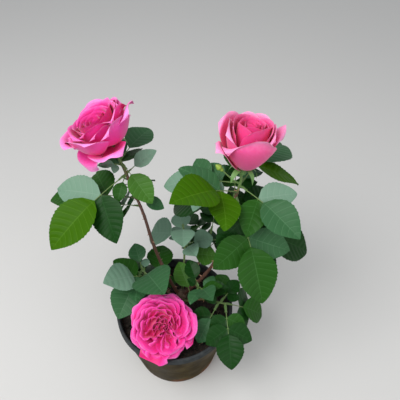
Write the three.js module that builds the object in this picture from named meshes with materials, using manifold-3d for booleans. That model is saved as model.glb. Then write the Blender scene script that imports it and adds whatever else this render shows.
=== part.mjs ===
// Potted rose bush: a round pot of soil, a short trunk, canes, leafy shoots and three blooms.
// Lengths are in millimetres and angles in degrees. +Z is up, +X is the photo's right and
// +Y points away from its camera. The origin is the middle of the pot's flat underside.
import * as THREE from "three";
import { mergeVertices } from "three/addons/utils/BufferGeometryUtils.js";
import Module from "manifold-3d";

const wasm = await Module();
wasm.setup();

// Named sizes.
const GAP = 0.35; // between neighbouring nodes that would touch
const POT = { height: 142, base: 76, rim: 100, lip: 14, step: 3, wall: 3, floor: 4, sides: 28 };
const SOIL = { level: 122, dome: 3, flat: 26 };
const TRUNK = { foot: 14, waist: 8.5, top: 10, height: 27, leanX: 2, leanY: 3, sides: 9 };
const TRUNK_AT = [10, 17];
const LEAF = {
  petiole: 1.15, // radius of a leaf stalk at the stem
  droop: 26, // how far the leaf stalk bends down over its length
  spread: 60, // angle between a side leaflet and the stalk
  lean: 24, // how far a leaf that points sideways turns its face to the front
  fold: 0.24, // rise of the margins over half the width
  arch: 0.1, // drop of the tip over the length
  thick: 1.5, // at the midrib; the margins are sharp
  stations: [0.3, 0.68], // where the leaflet's section is set
  clear: 4, // half the room that a leaflet keeps to itself
};
// By number of leaflets: share of the reach at which the last leaflet starts, the places of
// the side pairs on the stalk and their length over the last leaflet's.
const LEAFLETS = {
  1: { start: 0.3, pairs: [] },
  3: { start: 0.4, pairs: [[0.8, 0.8]] },
  5: { start: 0.48, pairs: [[0.82, 0.8], [0.48, 0.64]] },
};
// A leaf that would touch something is turned by these steps in turn, then left out.
const TURNS = [
  [0, 0], [12, 0], [-12, 0], [0, 12], [0, -12], [24, 6], [-24, 6], [16, -14], [-16, -14],
];

// Each limb: its line, whose first half by points is the bare cane and whose second half is the
// leafy shoot; its radius at the foot, at the join and at the tip; the width of its leaflets over
// their length; and the shoot's leaves as share of the shoot, compass (0 is +X, 90 is +Y), rise,
// reach, number of leaflets and, where it isn't the usual one, lean.
const SHOOTS = {
  left: {
    path: [
      [5, 20, 147], [-14, 26, 205], [-31, 40, 262], [-42, 56, 310], [-56, 74, 345], [-69, 92, 372],
      [-79, 104, 390],
    ],
    radii: [3, 2.3, 1.9],
    broad: 0.66,
    leaves: [
      [0.23, 177, -3, 139, 3, 8], [0.59, -135, -20, 154, 3], [0.81, -45, -31, 77, 1],
      [0.6, -106, -30, 47, 1], [0.59, 26, 28, 58, 1], [0.25, -11, -23, 46, 1],
      [0.87, 65, -1, 92, 1], [0.76, 215, 27, 36, 3], [0.3, 100, -26, 94, 5],
      [0.12, 150, -30, 90, 5], [0.55, 112, 4, 92, 3],
    ],
  },
  right: {
    path: [
      [15, 18, 147], [44, 16, 195], [68, 20, 243], [82, 34, 295], [92, 48, 340], [98, 55, 361],
      [102, 60, 376],
    ],
    radii: [3, 2.3, 1.9],
    broad: 0.68,
    leaves: [
      [0.89, -50, 6, 117, 3], [0.55, -73, -36, 160, 5], [0.67, 210, 28, 135, 3],
      [0.98, 171, 1, 118, 5], [0.94, 56, 4, 156, 3], [0.05, 4, -26, 159, 3],
      [0.43, 152, -32, 130, 1], [0.4, 84, 6, 120, 5], [0.1, 46, 0, 108, 3], [0.22, 0, -18, 104, 5],
    ],
    bud: { share: 0.93, to: [75, 62, 398] },
  },
  middle: {
    path: [[12, 24, 140], [15, 44, 172], [17, 62, 202], [18, 76, 226], [15, 92, 250]],
    radii: [2.2, 1.7, 1.2],
    broad: 0.95,
    leaves: [
      [0.61, 103, 8, 51, 1], [0.63, 153, -25, 82, 1], [0.98, -88, 12, 58, 1], [0.34, 20, -3, 53, 1],
      [0.36, -62, 20, 44, 1], [0.03, 5, -14, 58, 1], [0.3, 100, -10, 60, 3],
    ],
  },
  low_left: {
    path: [[4, 17, 137], [-12, 20, 152], [-26, 25, 166], [-42, 32, 179], [-56, 40, 190]],
    radii: [2.4, 1.8, 1.3],
    broad: 0.85,
    leaves: [
      [0.55, 220, 36, 98, 3], [0.2, 84, 5, 77, 1], [0.98, -61, 30, 108, 1], [0.15, 17, -21, 37, 1],
      [0.95, 111, 22, 51, 1], [0.98, -112, -14, 90, 1], [0.88, 83, 7, 26, 1],
      [0.05, 114, -14, 60, 3], [0.5, 148, -16, 76, 5],
    ],
  },
  low_right: {
    path: [[16, 14, 137], [32, 6, 150], [48, 0, 160], [66, -8, 168], [86, -16, 173]],
    radii: [2.2, 1.7, 1.3],
    broad: 0.8,
    leaves: [
      [0.98, -85, -20, 103, 5], [0.98, 8, -38, 90, 3], [0.8, 48, 14, 50, 3],
      [0.74, -122, -27, 74, 3], [0.5, 66, -4, 62, 3],
    ],
  },
  centre: {
    path: [[14, 11, 140], [22, 2, 152], [30, -2, 165], [37, 0, 179], [41, 4, 192]],
    radii: [2.2, 1.7, 1.3],
    broad: 0.75,
    leaves: [
      [0.03, 113, 26, 67, 1], [0.98, -67, 40, 71, 3], [0.98, 168, 45, 26, 1],
      [0.98, 112, 26, 49, 1], [0.6, -4, 18, 56, 3],
    ],
  },
  back: {
    path: [[13, 22, 137], [30, 44, 160], [44, 66, 182], [56, 86, 202], [64, 102, 218]],
    radii: [2.4, 1.8, 1.3],
    broad: 0.66,
    leaves: [
      [0.9, 76, 14, 96, 5], [0.6, 14, -8, 94, 5], [0.3, 40, -6, 70, 3], [0.15, 110, -8, 70, 3],
      [0.72, 122, -10, 84, 5],
    ],
  },
  low: {
    path: [[9, 14, 135], [4, -2, 140], [-2, -14, 141], [-10, -30, 143], [-17, -40, 148]],
    radii: [2.6, 2.3, 2],
    broad: 0.75,
    leaves: [
      [0.25, 184, 4, 66, 3],
    ],
  },
};

// Blooms. A petal's midline runs from the hip through its belly, rim and tip, each as distance from
// the bloom's axis and height above the stalk. Rings run from the heart outwards: number of petals,
// compass of the first, width, belly, rim, tip. Guards are single outer petals: compass, width,
// belly, rim, tip and, where the rim slopes, its rise to one side. Room is the drum that leaves keep
// out of: from, to and radius about the axis.
const BLOOMS = {
  left: {
    stalk: [-85, 109, 403],
    axis: [-0.4, 0.05, 0.915],
    room: [0, 70, 49],
    curl: 3, twist: 3, ruffle: 0.8,
    heart: { radius: 17, height: 51 },
    rings: [
      [4, 20, 76, [24, 20], [33, 42], [34, 58]],
    ],
    guards: [
      [2, 64, [26, 14], [46, 37], [56, 56]], [194, 92, [28, 16], [45, 37], [52, 51], 3],
      [-132, 58, [28, 7], [43, 7], [52, 0]], [-34, 72, [29, 12], [44, 34], [46, 53]],
      [-78, 62, [29, 6], [44, 12], [52, 18]], [-124, 98, [31, 11], [46, 35], [48, 55], 4],
      [46, 58, [28, 18], [40, 42], [41, 56]], [100, 64, [28, 18], [40, 42], [43, 60]],
    ],
  },
  right: {
    stalk: [103, 63, 389],
    axis: [0.145, 0.213, 0.966],
    room: [0, 88, 42],
    curl: 4, twist: 3, ruffle: 0.5,
    heart: { radius: 15, height: 76 },
    rings: [],
    guards: [
      [-96, 88, [20, 20], [36, 49], [35, 69], 14], [28, 38, [20, 20], [38, 50], [53, 76]],
      [196, 34, [20, 18], [38, 42], [43, 50]], [62, 66, [21, 24], [36, 56], [34, 82]],
      [134, 66, [21, 24], [36, 56], [34, 82]], [178, 84, [21, 26], [32, 58], [28, 80]],
      [2, 80, [21, 26], [31, 58], [27, 80]], [92, 66, [20, 26], [30, 58], [26, 83]],
      [-80, 66, [20, 24], [30, 46], [26, 62]],
    ],
  },
  low: {
    stalk: [-17, -47, 157],
    axis: [0.084, -0.461, 0.883],
    room: [8, 60, 52],
    curl: 2, twist: 3, ruffle: 1.5,
    heart: { radius: 30, height: 33 },
    rings: [
      [5, 10, 50, [24, 16], [38, 29], [45, 30]], [8, 25, 46, [22, 12], [42, 20], [53, 20]],
    ],
    guards: [],
  },
};
const PETAL = { thick: 2, rows: 3, columns: 4, attach: 4, crown: 0.16 };
const HIP = { radius: 6, height: 10, stalk: 1.9 };

// Colour and roughness of each kind of surface, and the shoots and canes that differ from the rest.
const LOOKS = {
  plastic: [0x4a4a42, 0.6],
  soil: [0x33281c, 0.95],
  bark: [0x6a5540, 0.9],
  redCane: [0x7a4a38, 0.6],
  greenCane: [0x6f8a3c, 0.55],
  leaf: [0x3f7a3a, 0.45],
  paleLeaf: [0x86a58c, 0.6],
  pink: [0xf0358c, 0.5],
  lightPink: [0xf7709f, 0.5],
};
const CANE_LOOK = { left: "redCane", right: "redCane", low: "redCane" };
const SHOOT_LOOK = { middle: "paleLeaf" };
const BLOOM_LOOK = { right: "lightPink" };

// Plain vector helpers.
const rad = THREE.MathUtils.degToRad;
const V = (p) => new THREE.Vector3(...p);
const mix = (a, b, t) => a + (b - a) * t;
const heading = (compass, rise) =>
  new THREE.Vector3(
    Math.cos(rad(compass)) * Math.cos(rad(rise)),
    Math.sin(rad(compass)) * Math.cos(rad(rise)),
    Math.sin(rad(rise)),
  );

// Solids: three.js geometry goes in, manifold-3d joins and cuts, three.js geometry comes out.
function solidOf(geometry) {
  const bare = geometry.index ? geometry.toNonIndexed() : geometry.clone();
  for (const name of Object.keys(bare.attributes)) if (name !== "position") bare.deleteAttribute(name);
  const merged = mergeVertices(bare, 1e-4);
  const index = [];
  const old = merged.index.array;
  for (let i = 0; i < old.length; i += 3) {
    const [a, b, c] = [old[i], old[i + 1], old[i + 2]];
    if (a !== b && b !== c && c !== a) index.push(a, b, c);
  }
  const make = (order) =>
    new wasm.Manifold(
      new wasm.Mesh({
        numProp: 3,
        vertProperties: new Float32Array(merged.attributes.position.array),
        triVerts: new Uint32Array(order),
      }),
    );
  const made = make(index);
  return made.volume() < 0 ? make(index.reverse()) : made;
}

// The largest body with its sealed hollows filled; loose scraps are dropped.
function oneBody(solid) {
  return solid.decompose().reduce((best, body) => (body.volume() > best.volume() ? body : best));
}

const fused = (list) => oneBody(wasm.Manifold.union(list));

function meshOf(name, solid, look) {
  const found = solid.getMesh();
  const geometry = new THREE.BufferGeometry();
  geometry.setAttribute("position", new THREE.BufferAttribute(found.vertProperties, 3));
  geometry.setIndex(new THREE.BufferAttribute(found.triVerts, 1));
  const [color, roughness] = LOOKS[look];
  const material = new THREE.MeshStandardMaterial({ color, roughness, metalness: 0 });
  const mesh = new THREE.Mesh(geometry, material);
  mesh.name = name;
  return mesh;
}

// A geometry through rings of equal size, closed by a fan at each end.
function loft(rings) {
  const points = [];
  const size = rings[0].length;
  const push = (...vs) => vs.forEach((v) => points.push(v.x, v.y, v.z));
  for (let r = 0; r + 1 < rings.length; r++)
    for (let i = 0; i < size; i++) {
      const j = (i + 1) % size;
      push(rings[r][i], rings[r][j], rings[r + 1][j]);
      push(rings[r][i], rings[r + 1][j], rings[r + 1][i]);
    }
  const last = rings.length - 1;
  for (let i = 1; i + 1 < size; i++) {
    push(rings[0][0], rings[0][i + 1], rings[0][i]);
    push(rings[last][0], rings[last][i], rings[last][i + 1]);
  }
  const geometry = new THREE.BufferGeometry();
  return geometry.setAttribute("position", new THREE.Float32BufferAttribute(points, 3));
}

// A smooth line through a few points.
const lineOf = (points) => new THREE.CatmullRomCurve3(points.map(V), false, "catmullrom", 0.5);

// A tapering limb: a tube along part of the line, whose radius is given by share of that part.
// Its start is moved on by lead, to leave a gap.
function limb(line, radius, steps, sides, from = 0, to = 1, lead = 0) {
  const rings = [];
  let side = new THREE.Vector3(1, 0.2, 0.1);
  for (let k = 0; k <= steps; k++) {
    const way = line.getTangent(mix(from, to, k / steps));
    const at = line.getPoint(mix(from, to, k / steps)).addScaledVector(way, k === 0 ? lead : 0);
    side = side.clone().addScaledVector(way, -side.dot(way)).normalize();
    const other = way.clone().cross(side);
    const ring = [];
    for (let i = 0; i < sides; i++) {
      const a = (2 * Math.PI * i) / sides;
      ring.push(
        at.clone()
          .addScaledVector(side, Math.cos(a) * radius(k / steps))
          .addScaledVector(other, Math.sin(a) * radius(k / steps)),
      );
    }
    rings.push(ring);
  }
  return solidOf(loft(rings));
}

// The pot and its soil, both turned on the same number of sides so that their gap is even.
const wallAt = (z) => mix(POT.base, POT.rim - POT.step, z / (POT.height - POT.lip));

function turned(profile) {
  const points = profile.map(([r, z]) => new THREE.Vector2(r, z));
  const geometry = new THREE.LatheGeometry(points, POT.sides);
  return solidOf(geometry.rotateX(Math.PI / 2));
}

function makePot() {
  const under = POT.height - POT.lip;
  const inside = (z) => wallAt(z) - POT.wall;
  return turned([
    [0, 0], [POT.base, 0], [wallAt(under), under], [POT.rim - 0.6, under], [POT.rim, under + 2],
    [POT.rim, POT.height - 1.2], [POT.rim - 1.5, POT.height], [inside(under) + 2, POT.height],
    [inside(under) + 0.6, POT.height - 2], [inside(under), under], [inside(POT.floor), POT.floor],
    [0, POT.floor],
  ]);
}

function makeSoil() {
  const inside = (z) => wallAt(z) - POT.wall - GAP;
  const foot = POT.floor + GAP;
  return turned([
    [0, foot], [inside(foot), foot], [inside(SOIL.level), SOIL.level],
    [SOIL.flat * 2, SOIL.level + 0.7 * SOIL.dome], [SOIL.flat, SOIL.level + SOIL.dome],
    [0, SOIL.level + SOIL.dome],
  ]);
}

// The short trunk: a flat cut at the soil, a flare, a waist and a swollen top that the canes leave.
function makeTrunk(extra) {
  const foot = SOIL.level + SOIL.dome + GAP;
  const shape = [[0, TRUNK.foot], [0.12, TRUNK.foot * 0.84], [0.4, TRUNK.waist], [0.7, TRUNK.top],
    [0.92, TRUNK.top * 0.86], [1, TRUNK.top * 0.5]];
  const rings = shape.map(([share, radius], k) => {
    const lift = extra * (k === 0 ? -1 : k === shape.length - 1 ? 1 : 0);
    const ring = [];
    for (let i = 0; i < TRUNK.sides; i++) {
      const a = (2 * Math.PI * i) / TRUNK.sides;
      const r = (radius + extra) * (1 + 0.07 * Math.cos(3 * a + 1) * (1 - 0.5 * share));
      ring.push(new THREE.Vector3(
        TRUNK_AT[0] + TRUNK.leanX * share + r * Math.cos(a),
        TRUNK_AT[1] + TRUNK.leanY * share + r * Math.sin(a),
        foot + TRUNK.height * share + lift,
      ));
    }
    return ring;
  });
  return solidOf(loft(rings));
}

// Leaflets. The blade's half width and its height over its own plane, at u along and v across.
function halfWidth(u) {
  const inside = Math.min(Math.max(u, 0), 1);
  return Math.pow(Math.sin(Math.PI * Math.pow(inside, 0.85)), 0.8);
}

const bladeRise = (blade, u, v) =>
  LEAF.fold * Math.abs(v) * halfWidth(u) * blade.width - LEAF.arch * blade.length * u * u;

function bladePoint(blade, u, v) {
  return blade.base.clone()
    .addScaledVector(blade.along, u * blade.length)
    .addScaledVector(blade.across, v * halfWidth(u) * blade.width)
    .addScaledVector(blade.normal, bladeRise(blade, u, v));
}

// A four-pointed ring across a leaflet or its stalk.
function leafRing(blade, middle, half, thick, rise) {
  const edge = (side) =>
    middle.clone().addScaledVector(blade.across, side * half).addScaledVector(blade.normal, rise);
  return [edge(-1), middle.clone().addScaledVector(blade.normal, -thick), edge(1),
    middle.clone().addScaledVector(blade.normal, thick)];
}

// A leaflet with sharp margins and a thick midrib. The last leaflet of a leaf goes on from the
// stalk, and a side leaflet starts in the middle of the stalk.
function bladeSolid(blade, stalk = [blade.base]) {
  const rings = stalk.map((point) => leafRing(blade, point, LEAF.petiole, LEAF.petiole, 0));
  for (const u of LEAF.stations) {
    const half = halfWidth(u) * blade.width;
    rings.push(leafRing(blade, bladePoint(blade, u, 0), half, LEAF.thick / 2, LEAF.fold * half));
  }
  rings.push(leafRing(blade, bladePoint(blade, 1, 0), 0, 0, 0));
  return solidOf(loft(rings));
}

// One compound leaf: the line of its stalk and its leaflets.
function planLeaf(base, compass, rise, reach, count, broad, lean = LEAF.lean) {
  const rule = LEAFLETS[count];
  const stalk = [base.clone()];
  const steps = 2;
  const step = (reach * rule.start) / steps;
  const pitch = (share) => rise + LEAF.droop * (0.5 - share);
  for (let k = 0; k < steps; k++) {
    const way = heading(compass, pitch(((k + 0.5) / steps) * rule.start));
    stalk.push(stalk[k].clone().addScaledVector(way, step));
  }
  const across = heading(compass - 90, -lean * Math.cos(rad(compass)));
  const blades = [];
  const add = (share, side, size) => {
    const place = Math.min(share * steps, steps - 1e-9);
    const k = Math.floor(place);
    const at = stalk[k].clone().lerp(stalk[k + 1], place - k);
    const down = pitch(mix(0, rule.start, share)) - (side ? 8 : 5);
    const ahead = heading(compass, down);
    const spread = rad(side * LEAF.spread);
    const up = across.clone().cross(ahead).normalize();
    const along = ahead.clone().multiplyScalar(Math.cos(spread))
      .addScaledVector(ahead.clone().cross(up), Math.sin(spread));
    const sideways = along.clone().cross(up).normalize();
    const length = reach * (1 - rule.start) * size;
    blades.push({ base: at, along, across: sideways, normal: up, length, width: (length * broad) / 2 });
  };
  add(1, 0, 1);
  for (const [share, size] of rule.pairs) for (const side of [-1, 1]) add(share, side, size);
  return { stalk, blades };
}

function samplesOf(blade) {
  const found = [];
  for (let i = 0; i <= 8; i++)
    for (let j = -2; j <= 2; j++) found.push(bladePoint(blade, (i + 0.3) / 8.6, j / 2));
  return found;
}

// True where a point lies in the room that a leaflet keeps to itself.
function insideRoom(blade, point) {
  const from = point.clone().sub(blade.base);
  const x = from.dot(blade.along);
  if (x < -LEAF.clear || x > blade.length + LEAF.clear) return false;
  const y = from.dot(blade.across);
  const half = halfWidth(x / blade.length) * blade.width;
  if (Math.abs(y) > half + LEAF.clear) return false;
  const v = half > 0 ? Math.min(Math.abs(y) / half, 1) : 0;
  return Math.abs(from.dot(blade.normal) - bladeRise(blade, x / blade.length, v)) < LEAF.clear;
}

function distanceToRod(point, rod) {
  const way = rod.to.clone().sub(rod.from);
  const share = Math.min(Math.max(point.clone().sub(rod.from).dot(way) / way.lengthSq(), 0), 1);
  return point.distanceTo(rod.from.clone().addScaledVector(way, share));
}

// Points of a leaf must stay out of the pot, the soil, the blooms and every limb.
function pointIsFree(point, rods, owner) {
  const r = Math.hypot(point.x, point.y);
  if (point.z < POT.height + 4 && r > wallAt(point.z) - POT.wall - 4 && r < POT.rim + 4) return false;
  if (point.z < SOIL.level + SOIL.dome + 5 && r < POT.rim) return false;
  for (const bloom of Object.values(BLOOMS)) {
    const axis = V(bloom.axis).normalize();
    const from = point.clone().sub(V(bloom.stalk));
    const height = from.dot(axis);
    const out = Math.sqrt(Math.max(from.lengthSq() - height * height, 0));
    if (height > bloom.room[0] && height < bloom.room[1] && out < bloom.room[2]) return false;
  }
  return rods.every((rod) => rod.owner === owner || distanceToRod(point, rod) > rod.radius + 2.2);
}

function leafIsFree(leaf, placed, rods, owner) {
  const points = leaf.blades.flatMap(samplesOf);
  if (!points.every((p) => pointIsFree(p, rods, null))) return false;
  if (!leaf.stalk.slice(1).every((p) => pointIsFree(p, rods, owner))) return false;
  for (const other of placed) {
    const near = (p) => other.blades.some((blade) => insideRoom(blade, p));
    if (points.some(near) || leaf.stalk.slice(1).some(near)) return false;
    const mine = (p) => leaf.blades.some((blade) => insideRoom(blade, p));
    if (other.samples.some(mine) || other.stalk.slice(1).some(mine)) return false;
  }
  return true;
}

// Limbs as short rods, for the test above.
function rodsOf(name, shoot) {
  const line = lineOf(shoot.path);
  const [foot, join, tip] = shoot.radii;
  return Array.from({ length: 12 }, (_, k) => ({
    from: line.getPoint(k / 12),
    to: line.getPoint((k + 1) / 12),
    radius: k < 6 ? mix(foot, join, k / 6) : mix(join, tip, (k - 6) / 6),
    owner: (k < 6 ? "cane_" : "shoot_") + name,
  }));
}

// All leaves of all shoots, placed in turn by the one rule.
function growLeaves() {
  const rods = Object.entries(SHOOTS).flatMap(([name, shoot]) => rodsOf(name, shoot));
  const placed = [];
  for (const [name, shoot] of Object.entries(SHOOTS)) {
    const line = lineOf(shoot.path);
    shoot.leaves.forEach(([share, compass, rise, reach, count, lean]) => {
      for (const [turn, tilt] of TURNS) {
        const base = line.getPoint(0.5 + share / 2);
        const leaf = planLeaf(base, compass + turn, rise + tilt, reach, count, shoot.broad, lean);
        if (!leafIsFree(leaf, placed, rods, "shoot_" + name)) continue;
        leaf.samples = leaf.blades.flatMap(samplesOf);
        placed.push({ ...leaf, shoot: name });
        return;
      }
    });
  }
  return placed;
}

// A shoot: its stem with the leaves fused on, and a bud on its own twig where it has one.
function makeShoot(shoot, leaves) {
  const line = lineOf(shoot.path);
  const [, low, high] = shoot.radii;
  const pieces = [limb(line, (t) => mix(low, high, t), 5, 6, 0.5, 1, GAP)];
  for (const leaf of leaves) {
    const [last, ...pairs] = leaf.blades;
    pieces.push(bladeSolid(last, leaf.stalk), ...pairs.map((blade) => bladeSolid(blade)));
  }
  if (shoot.bud) {
    const from = line.getPoint(0.5 + shoot.bud.share / 2);
    const to = V(shoot.bud.to);
    const twig = new THREE.LineCurve3(from, to);
    const way = to.clone().sub(from).normalize();
    const tip = to.clone().addScaledVector(way, 13);
    pieces.push(limb(twig, () => 1.1, 1, 4));
    const swell = (t) => 0.6 + 4 * Math.sin(Math.PI * Math.min(0.12 + t * 0.86, 1));
    pieces.push(limb(new THREE.LineCurve3(to.clone().addScaledVector(way, -2), tip), swell, 4, 6));
  }
  return fused(pieces);
}

// Petals. The half width of a petal over its greatest, from its narrow foot to its rounded tip.
const petalHalf = (u) =>
  (0.3 + 0.7 * Math.sin((Math.PI / 2) * Math.min(u / 0.62, 1))) *
  (1 - 0.4 * Math.pow(Math.max(u - 0.62, 0) / 0.38, 2));

// A point of a petal, at u from foot to tip and v across, in the bloom's own frame. The petal bends
// round the axis, one margin lies outside its neighbour and the other inside, the margins curl back
// near the tip and the rim is ruffled.
function petalPoint(bloom, petal, u, v) {
  const share = u * (1 - PETAL.crown * v * v);
  const at = petal.line.getPoint(share);
  const way = petal.line.getTangent(share);
  const half = petalHalf(u) * petal.width * 0.5;
  const bend = at.x * 1.15 + 4;
  const angle = (v * half) / bend;
  const inward = bend * (1 - Math.cos(angle)) - bloom.curl * v * v * u * u * u - bloom.twist * v
    + bloom.ruffle * Math.sin(5 * v + petal.phase) * u * u;
  const out = at.x - inward * way.y;
  const up = at.y + inward * way.x + petal.slope * v * u * u;
  const aside = bend * Math.sin(angle);
  const turn = rad(petal.compass);
  return new THREE.Vector3(
    out * Math.cos(turn) - aside * Math.sin(turn),
    out * Math.sin(turn) + aside * Math.cos(turn),
    up,
  );
}

function petalSolid(bloom, petal) {
  const { rows, columns, thick } = PETAL;
  const grid = [];
  for (let i = 0; i <= rows; i++) {
    grid.push([]);
    for (let j = 0; j <= columns; j++)
      grid[i].push(petalPoint(bloom, petal, i / rows, (2 * j) / columns - 1));
  }
  const face = (side) =>
    grid.map((row, i) =>
      row.map((point, j) => {
        if (i === 0 || i === rows || j === 0 || j === columns) return point;
        const along = grid[i + 1][j].clone().sub(grid[i - 1][j]);
        const across = grid[i][j + 1].clone().sub(grid[i][j - 1]);
        return point.clone().addScaledVector(along.cross(across).normalize(), (side * thick) / 2);
      }),
    );
  const points = [];
  for (const side of [1, -1]) {
    const at = face(side);
    for (let i = 0; i < rows; i++)
      for (let j = 0; j < columns; j++) {
        const quad = [at[i][j], at[i + 1][j], at[i + 1][j + 1], at[i][j + 1]];
        const order = side > 0 ? [0, 1, 2, 0, 2, 3] : [0, 2, 1, 0, 3, 2];
        order.forEach((k) => points.push(quad[k].x, quad[k].y, quad[k].z));
      }
  }
  const geometry = new THREE.BufferGeometry();
  geometry.setAttribute("position", new THREE.Float32BufferAttribute(points, 3));
  return solidOf(geometry);
}

function petalsOf(bloom) {
  const petals = [];
  const add = (compass, width, stations, slope = 0) => {
    const line = lineOf([[PETAL.attach, HIP.height - 1], ...stations].map(([r, z]) => [r, z, 0]));
    petals.push({ compass, width, line, slope, phase: 2.4 * petals.length });
  };
  for (const [count, first, width, ...stations] of bloom.rings)
    for (let i = 0; i < count; i++) add(first + (360 / count) * i, width, stations);
  for (const [compass, width, belly, rim, tip, slope] of bloom.guards)
    add(compass, width, [belly, rim, tip], slope);
  return petals;
}

// A bloom: stalk, hip, a solid heart and the petals, fused into one solid.
function makeBloom(name, bloom) {
  const axis = V(bloom.axis).normalize();
  const side = new THREE.Vector3(1, 0, 0).addScaledVector(axis, -axis.x).normalize();
  const frame = new THREE.Matrix4().makeBasis(side, axis.clone().cross(side), axis);
  frame.setPosition(V(bloom.stalk));
  const { radius, height } = bloom.heart;
  const inner = [[1.2, -1], [HIP.radius, 1], [HIP.radius, HIP.height * 0.7],
    [radius * 0.85, HIP.height + 4], [radius, height * 0.6], [radius * 0.8, height * 0.86],
    [radius * 0.35, height]];
  const heart = loft(inner.map(([r, z]) => Array.from({ length: 8 }, (_, i) =>
    new THREE.Vector3(r * Math.cos((Math.PI * i) / 4), r * Math.sin((Math.PI * i) / 4), z))));
  const pieces = [solidOf(heart), ...petalsOf(bloom).map((petal) => petalSolid(bloom, petal))];
  const set = pieces.map((piece) => piece.transform(frame.toArray()));
  // The stalk goes on from the shoot's tip, the gap clear of it.
  const line = lineOf(SHOOTS[name].path);
  const way = line.getTangent(1);
  const start = line.getPoint(1).addScaledVector(way, GAP);
  const inHip = V(bloom.stalk).addScaledVector(axis, 2);
  const stalk = new THREE.CatmullRomCurve3([start, start.clone().addScaledVector(way, 3),
    V(bloom.stalk).addScaledVector(axis, -3), inHip]);
  set.push(limb(stalk, () => HIP.stalk, 5, 6));
  return fused(set);
}

// The object.
const part = new THREE.Group();
const add = (name, solid, look) => part.add(meshOf(name, solid, look));
add("pot", makePot(), "plastic");
add("soil", makeSoil(), "soil");
add("trunk", makeTrunk(0), "bark");
const around = makeTrunk(GAP);
const leaves = growLeaves();
for (const [name, shoot] of Object.entries(SHOOTS)) {
  const [foot, join] = shoot.radii;
  const cane = limb(lineOf(shoot.path), (t) => mix(foot, join, t), 6, 6, 0, 0.5);
  const own = leaves.filter((leaf) => leaf.shoot === name);
  add("cane_" + name, oneBody(cane.subtract(around)), CANE_LOOK[name] ?? "greenCane");
  add("shoot_" + name, makeShoot(shoot, own), SHOOT_LOOK[name] ?? "leaf");
}
for (const [name, bloom] of Object.entries(BLOOMS))
  add("bloom_" + name, makeBloom(name, bloom), BLOOM_LOOK[name] ?? "pink");
export default part;
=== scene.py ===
"""The looks of a potted rose bush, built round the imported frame: a stained plastic pot, moist soil,
thorny canes, compound leaves with toothed leaflets, a closed bud and three double blooms.

Lengths in the tables are millimetres and angles degrees, and MM turns them into metres. +Z is up,
+X is the photo's right, +Y points away from its camera, and the origin is under the pot's middle.
"""
import math

import bpy
import numpy as np
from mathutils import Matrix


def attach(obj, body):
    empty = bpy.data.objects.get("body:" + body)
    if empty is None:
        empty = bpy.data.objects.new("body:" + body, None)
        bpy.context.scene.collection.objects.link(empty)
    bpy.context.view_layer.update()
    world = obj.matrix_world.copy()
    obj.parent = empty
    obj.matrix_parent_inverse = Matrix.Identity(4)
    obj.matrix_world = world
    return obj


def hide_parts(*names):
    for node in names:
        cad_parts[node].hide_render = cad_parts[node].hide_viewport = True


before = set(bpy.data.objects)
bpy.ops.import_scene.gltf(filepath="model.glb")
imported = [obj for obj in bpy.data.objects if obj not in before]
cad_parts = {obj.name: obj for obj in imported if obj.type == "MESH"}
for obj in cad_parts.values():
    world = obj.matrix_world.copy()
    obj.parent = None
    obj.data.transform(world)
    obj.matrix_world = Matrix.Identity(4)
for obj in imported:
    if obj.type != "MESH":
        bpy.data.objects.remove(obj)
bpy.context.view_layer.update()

MM = 0.001
SEED = 7
TAU = 2 * math.pi

# The photo's camera.
CAMERA = {"place": (44, -380, 788), "pitch": 45.5, "focal_px": 420, "frame_px": 400, "sensor": 36}

# Sizes that the solids have too.
POT = {"height": 142, "base": 76, "rim": 100, "lip": 14, "step": 3, "wall": 3}
SOIL = {"level": 122, "dome": 3}
TRUNK = {"foot": 14, "waist": 8.5, "top": 10, "height": 27, "lean": (2, 3), "at": (10, 17)}
LEAF = {"droop": 26, "spread": 60, "lean": 24, "fold": 0.24, "arch": 0.1, "end_dip": 5, "side_dip": 8}
# For each number of leaflets: the stalk's share of the leaf's reach, then the place of each pair along
# the stalk and its size beside the end leaflet's.
LEAFLETS = {
    1: (0.3, []),
    3: (0.4, [(0.8, 0.8)]),
    5: (0.48, [(0.82, 0.8), (0.48, 0.64)]),
}
# Turns and tilts that a leaf tries in this order, and the room it keeps from what is round it.
TURNS = [(0, 0), (12, 0), (-12, 0), (0, 12), (0, -12), (24, 6), (-24, 6), (16, -14), (-16, -14)]
ROOM = {"leaf": 4, "pot": 4, "soil": 5, "limb": 2.2}
# The straight rods that stand for a limb in that search, half for the cane and half for its leafy part.
RODS = 12

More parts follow.
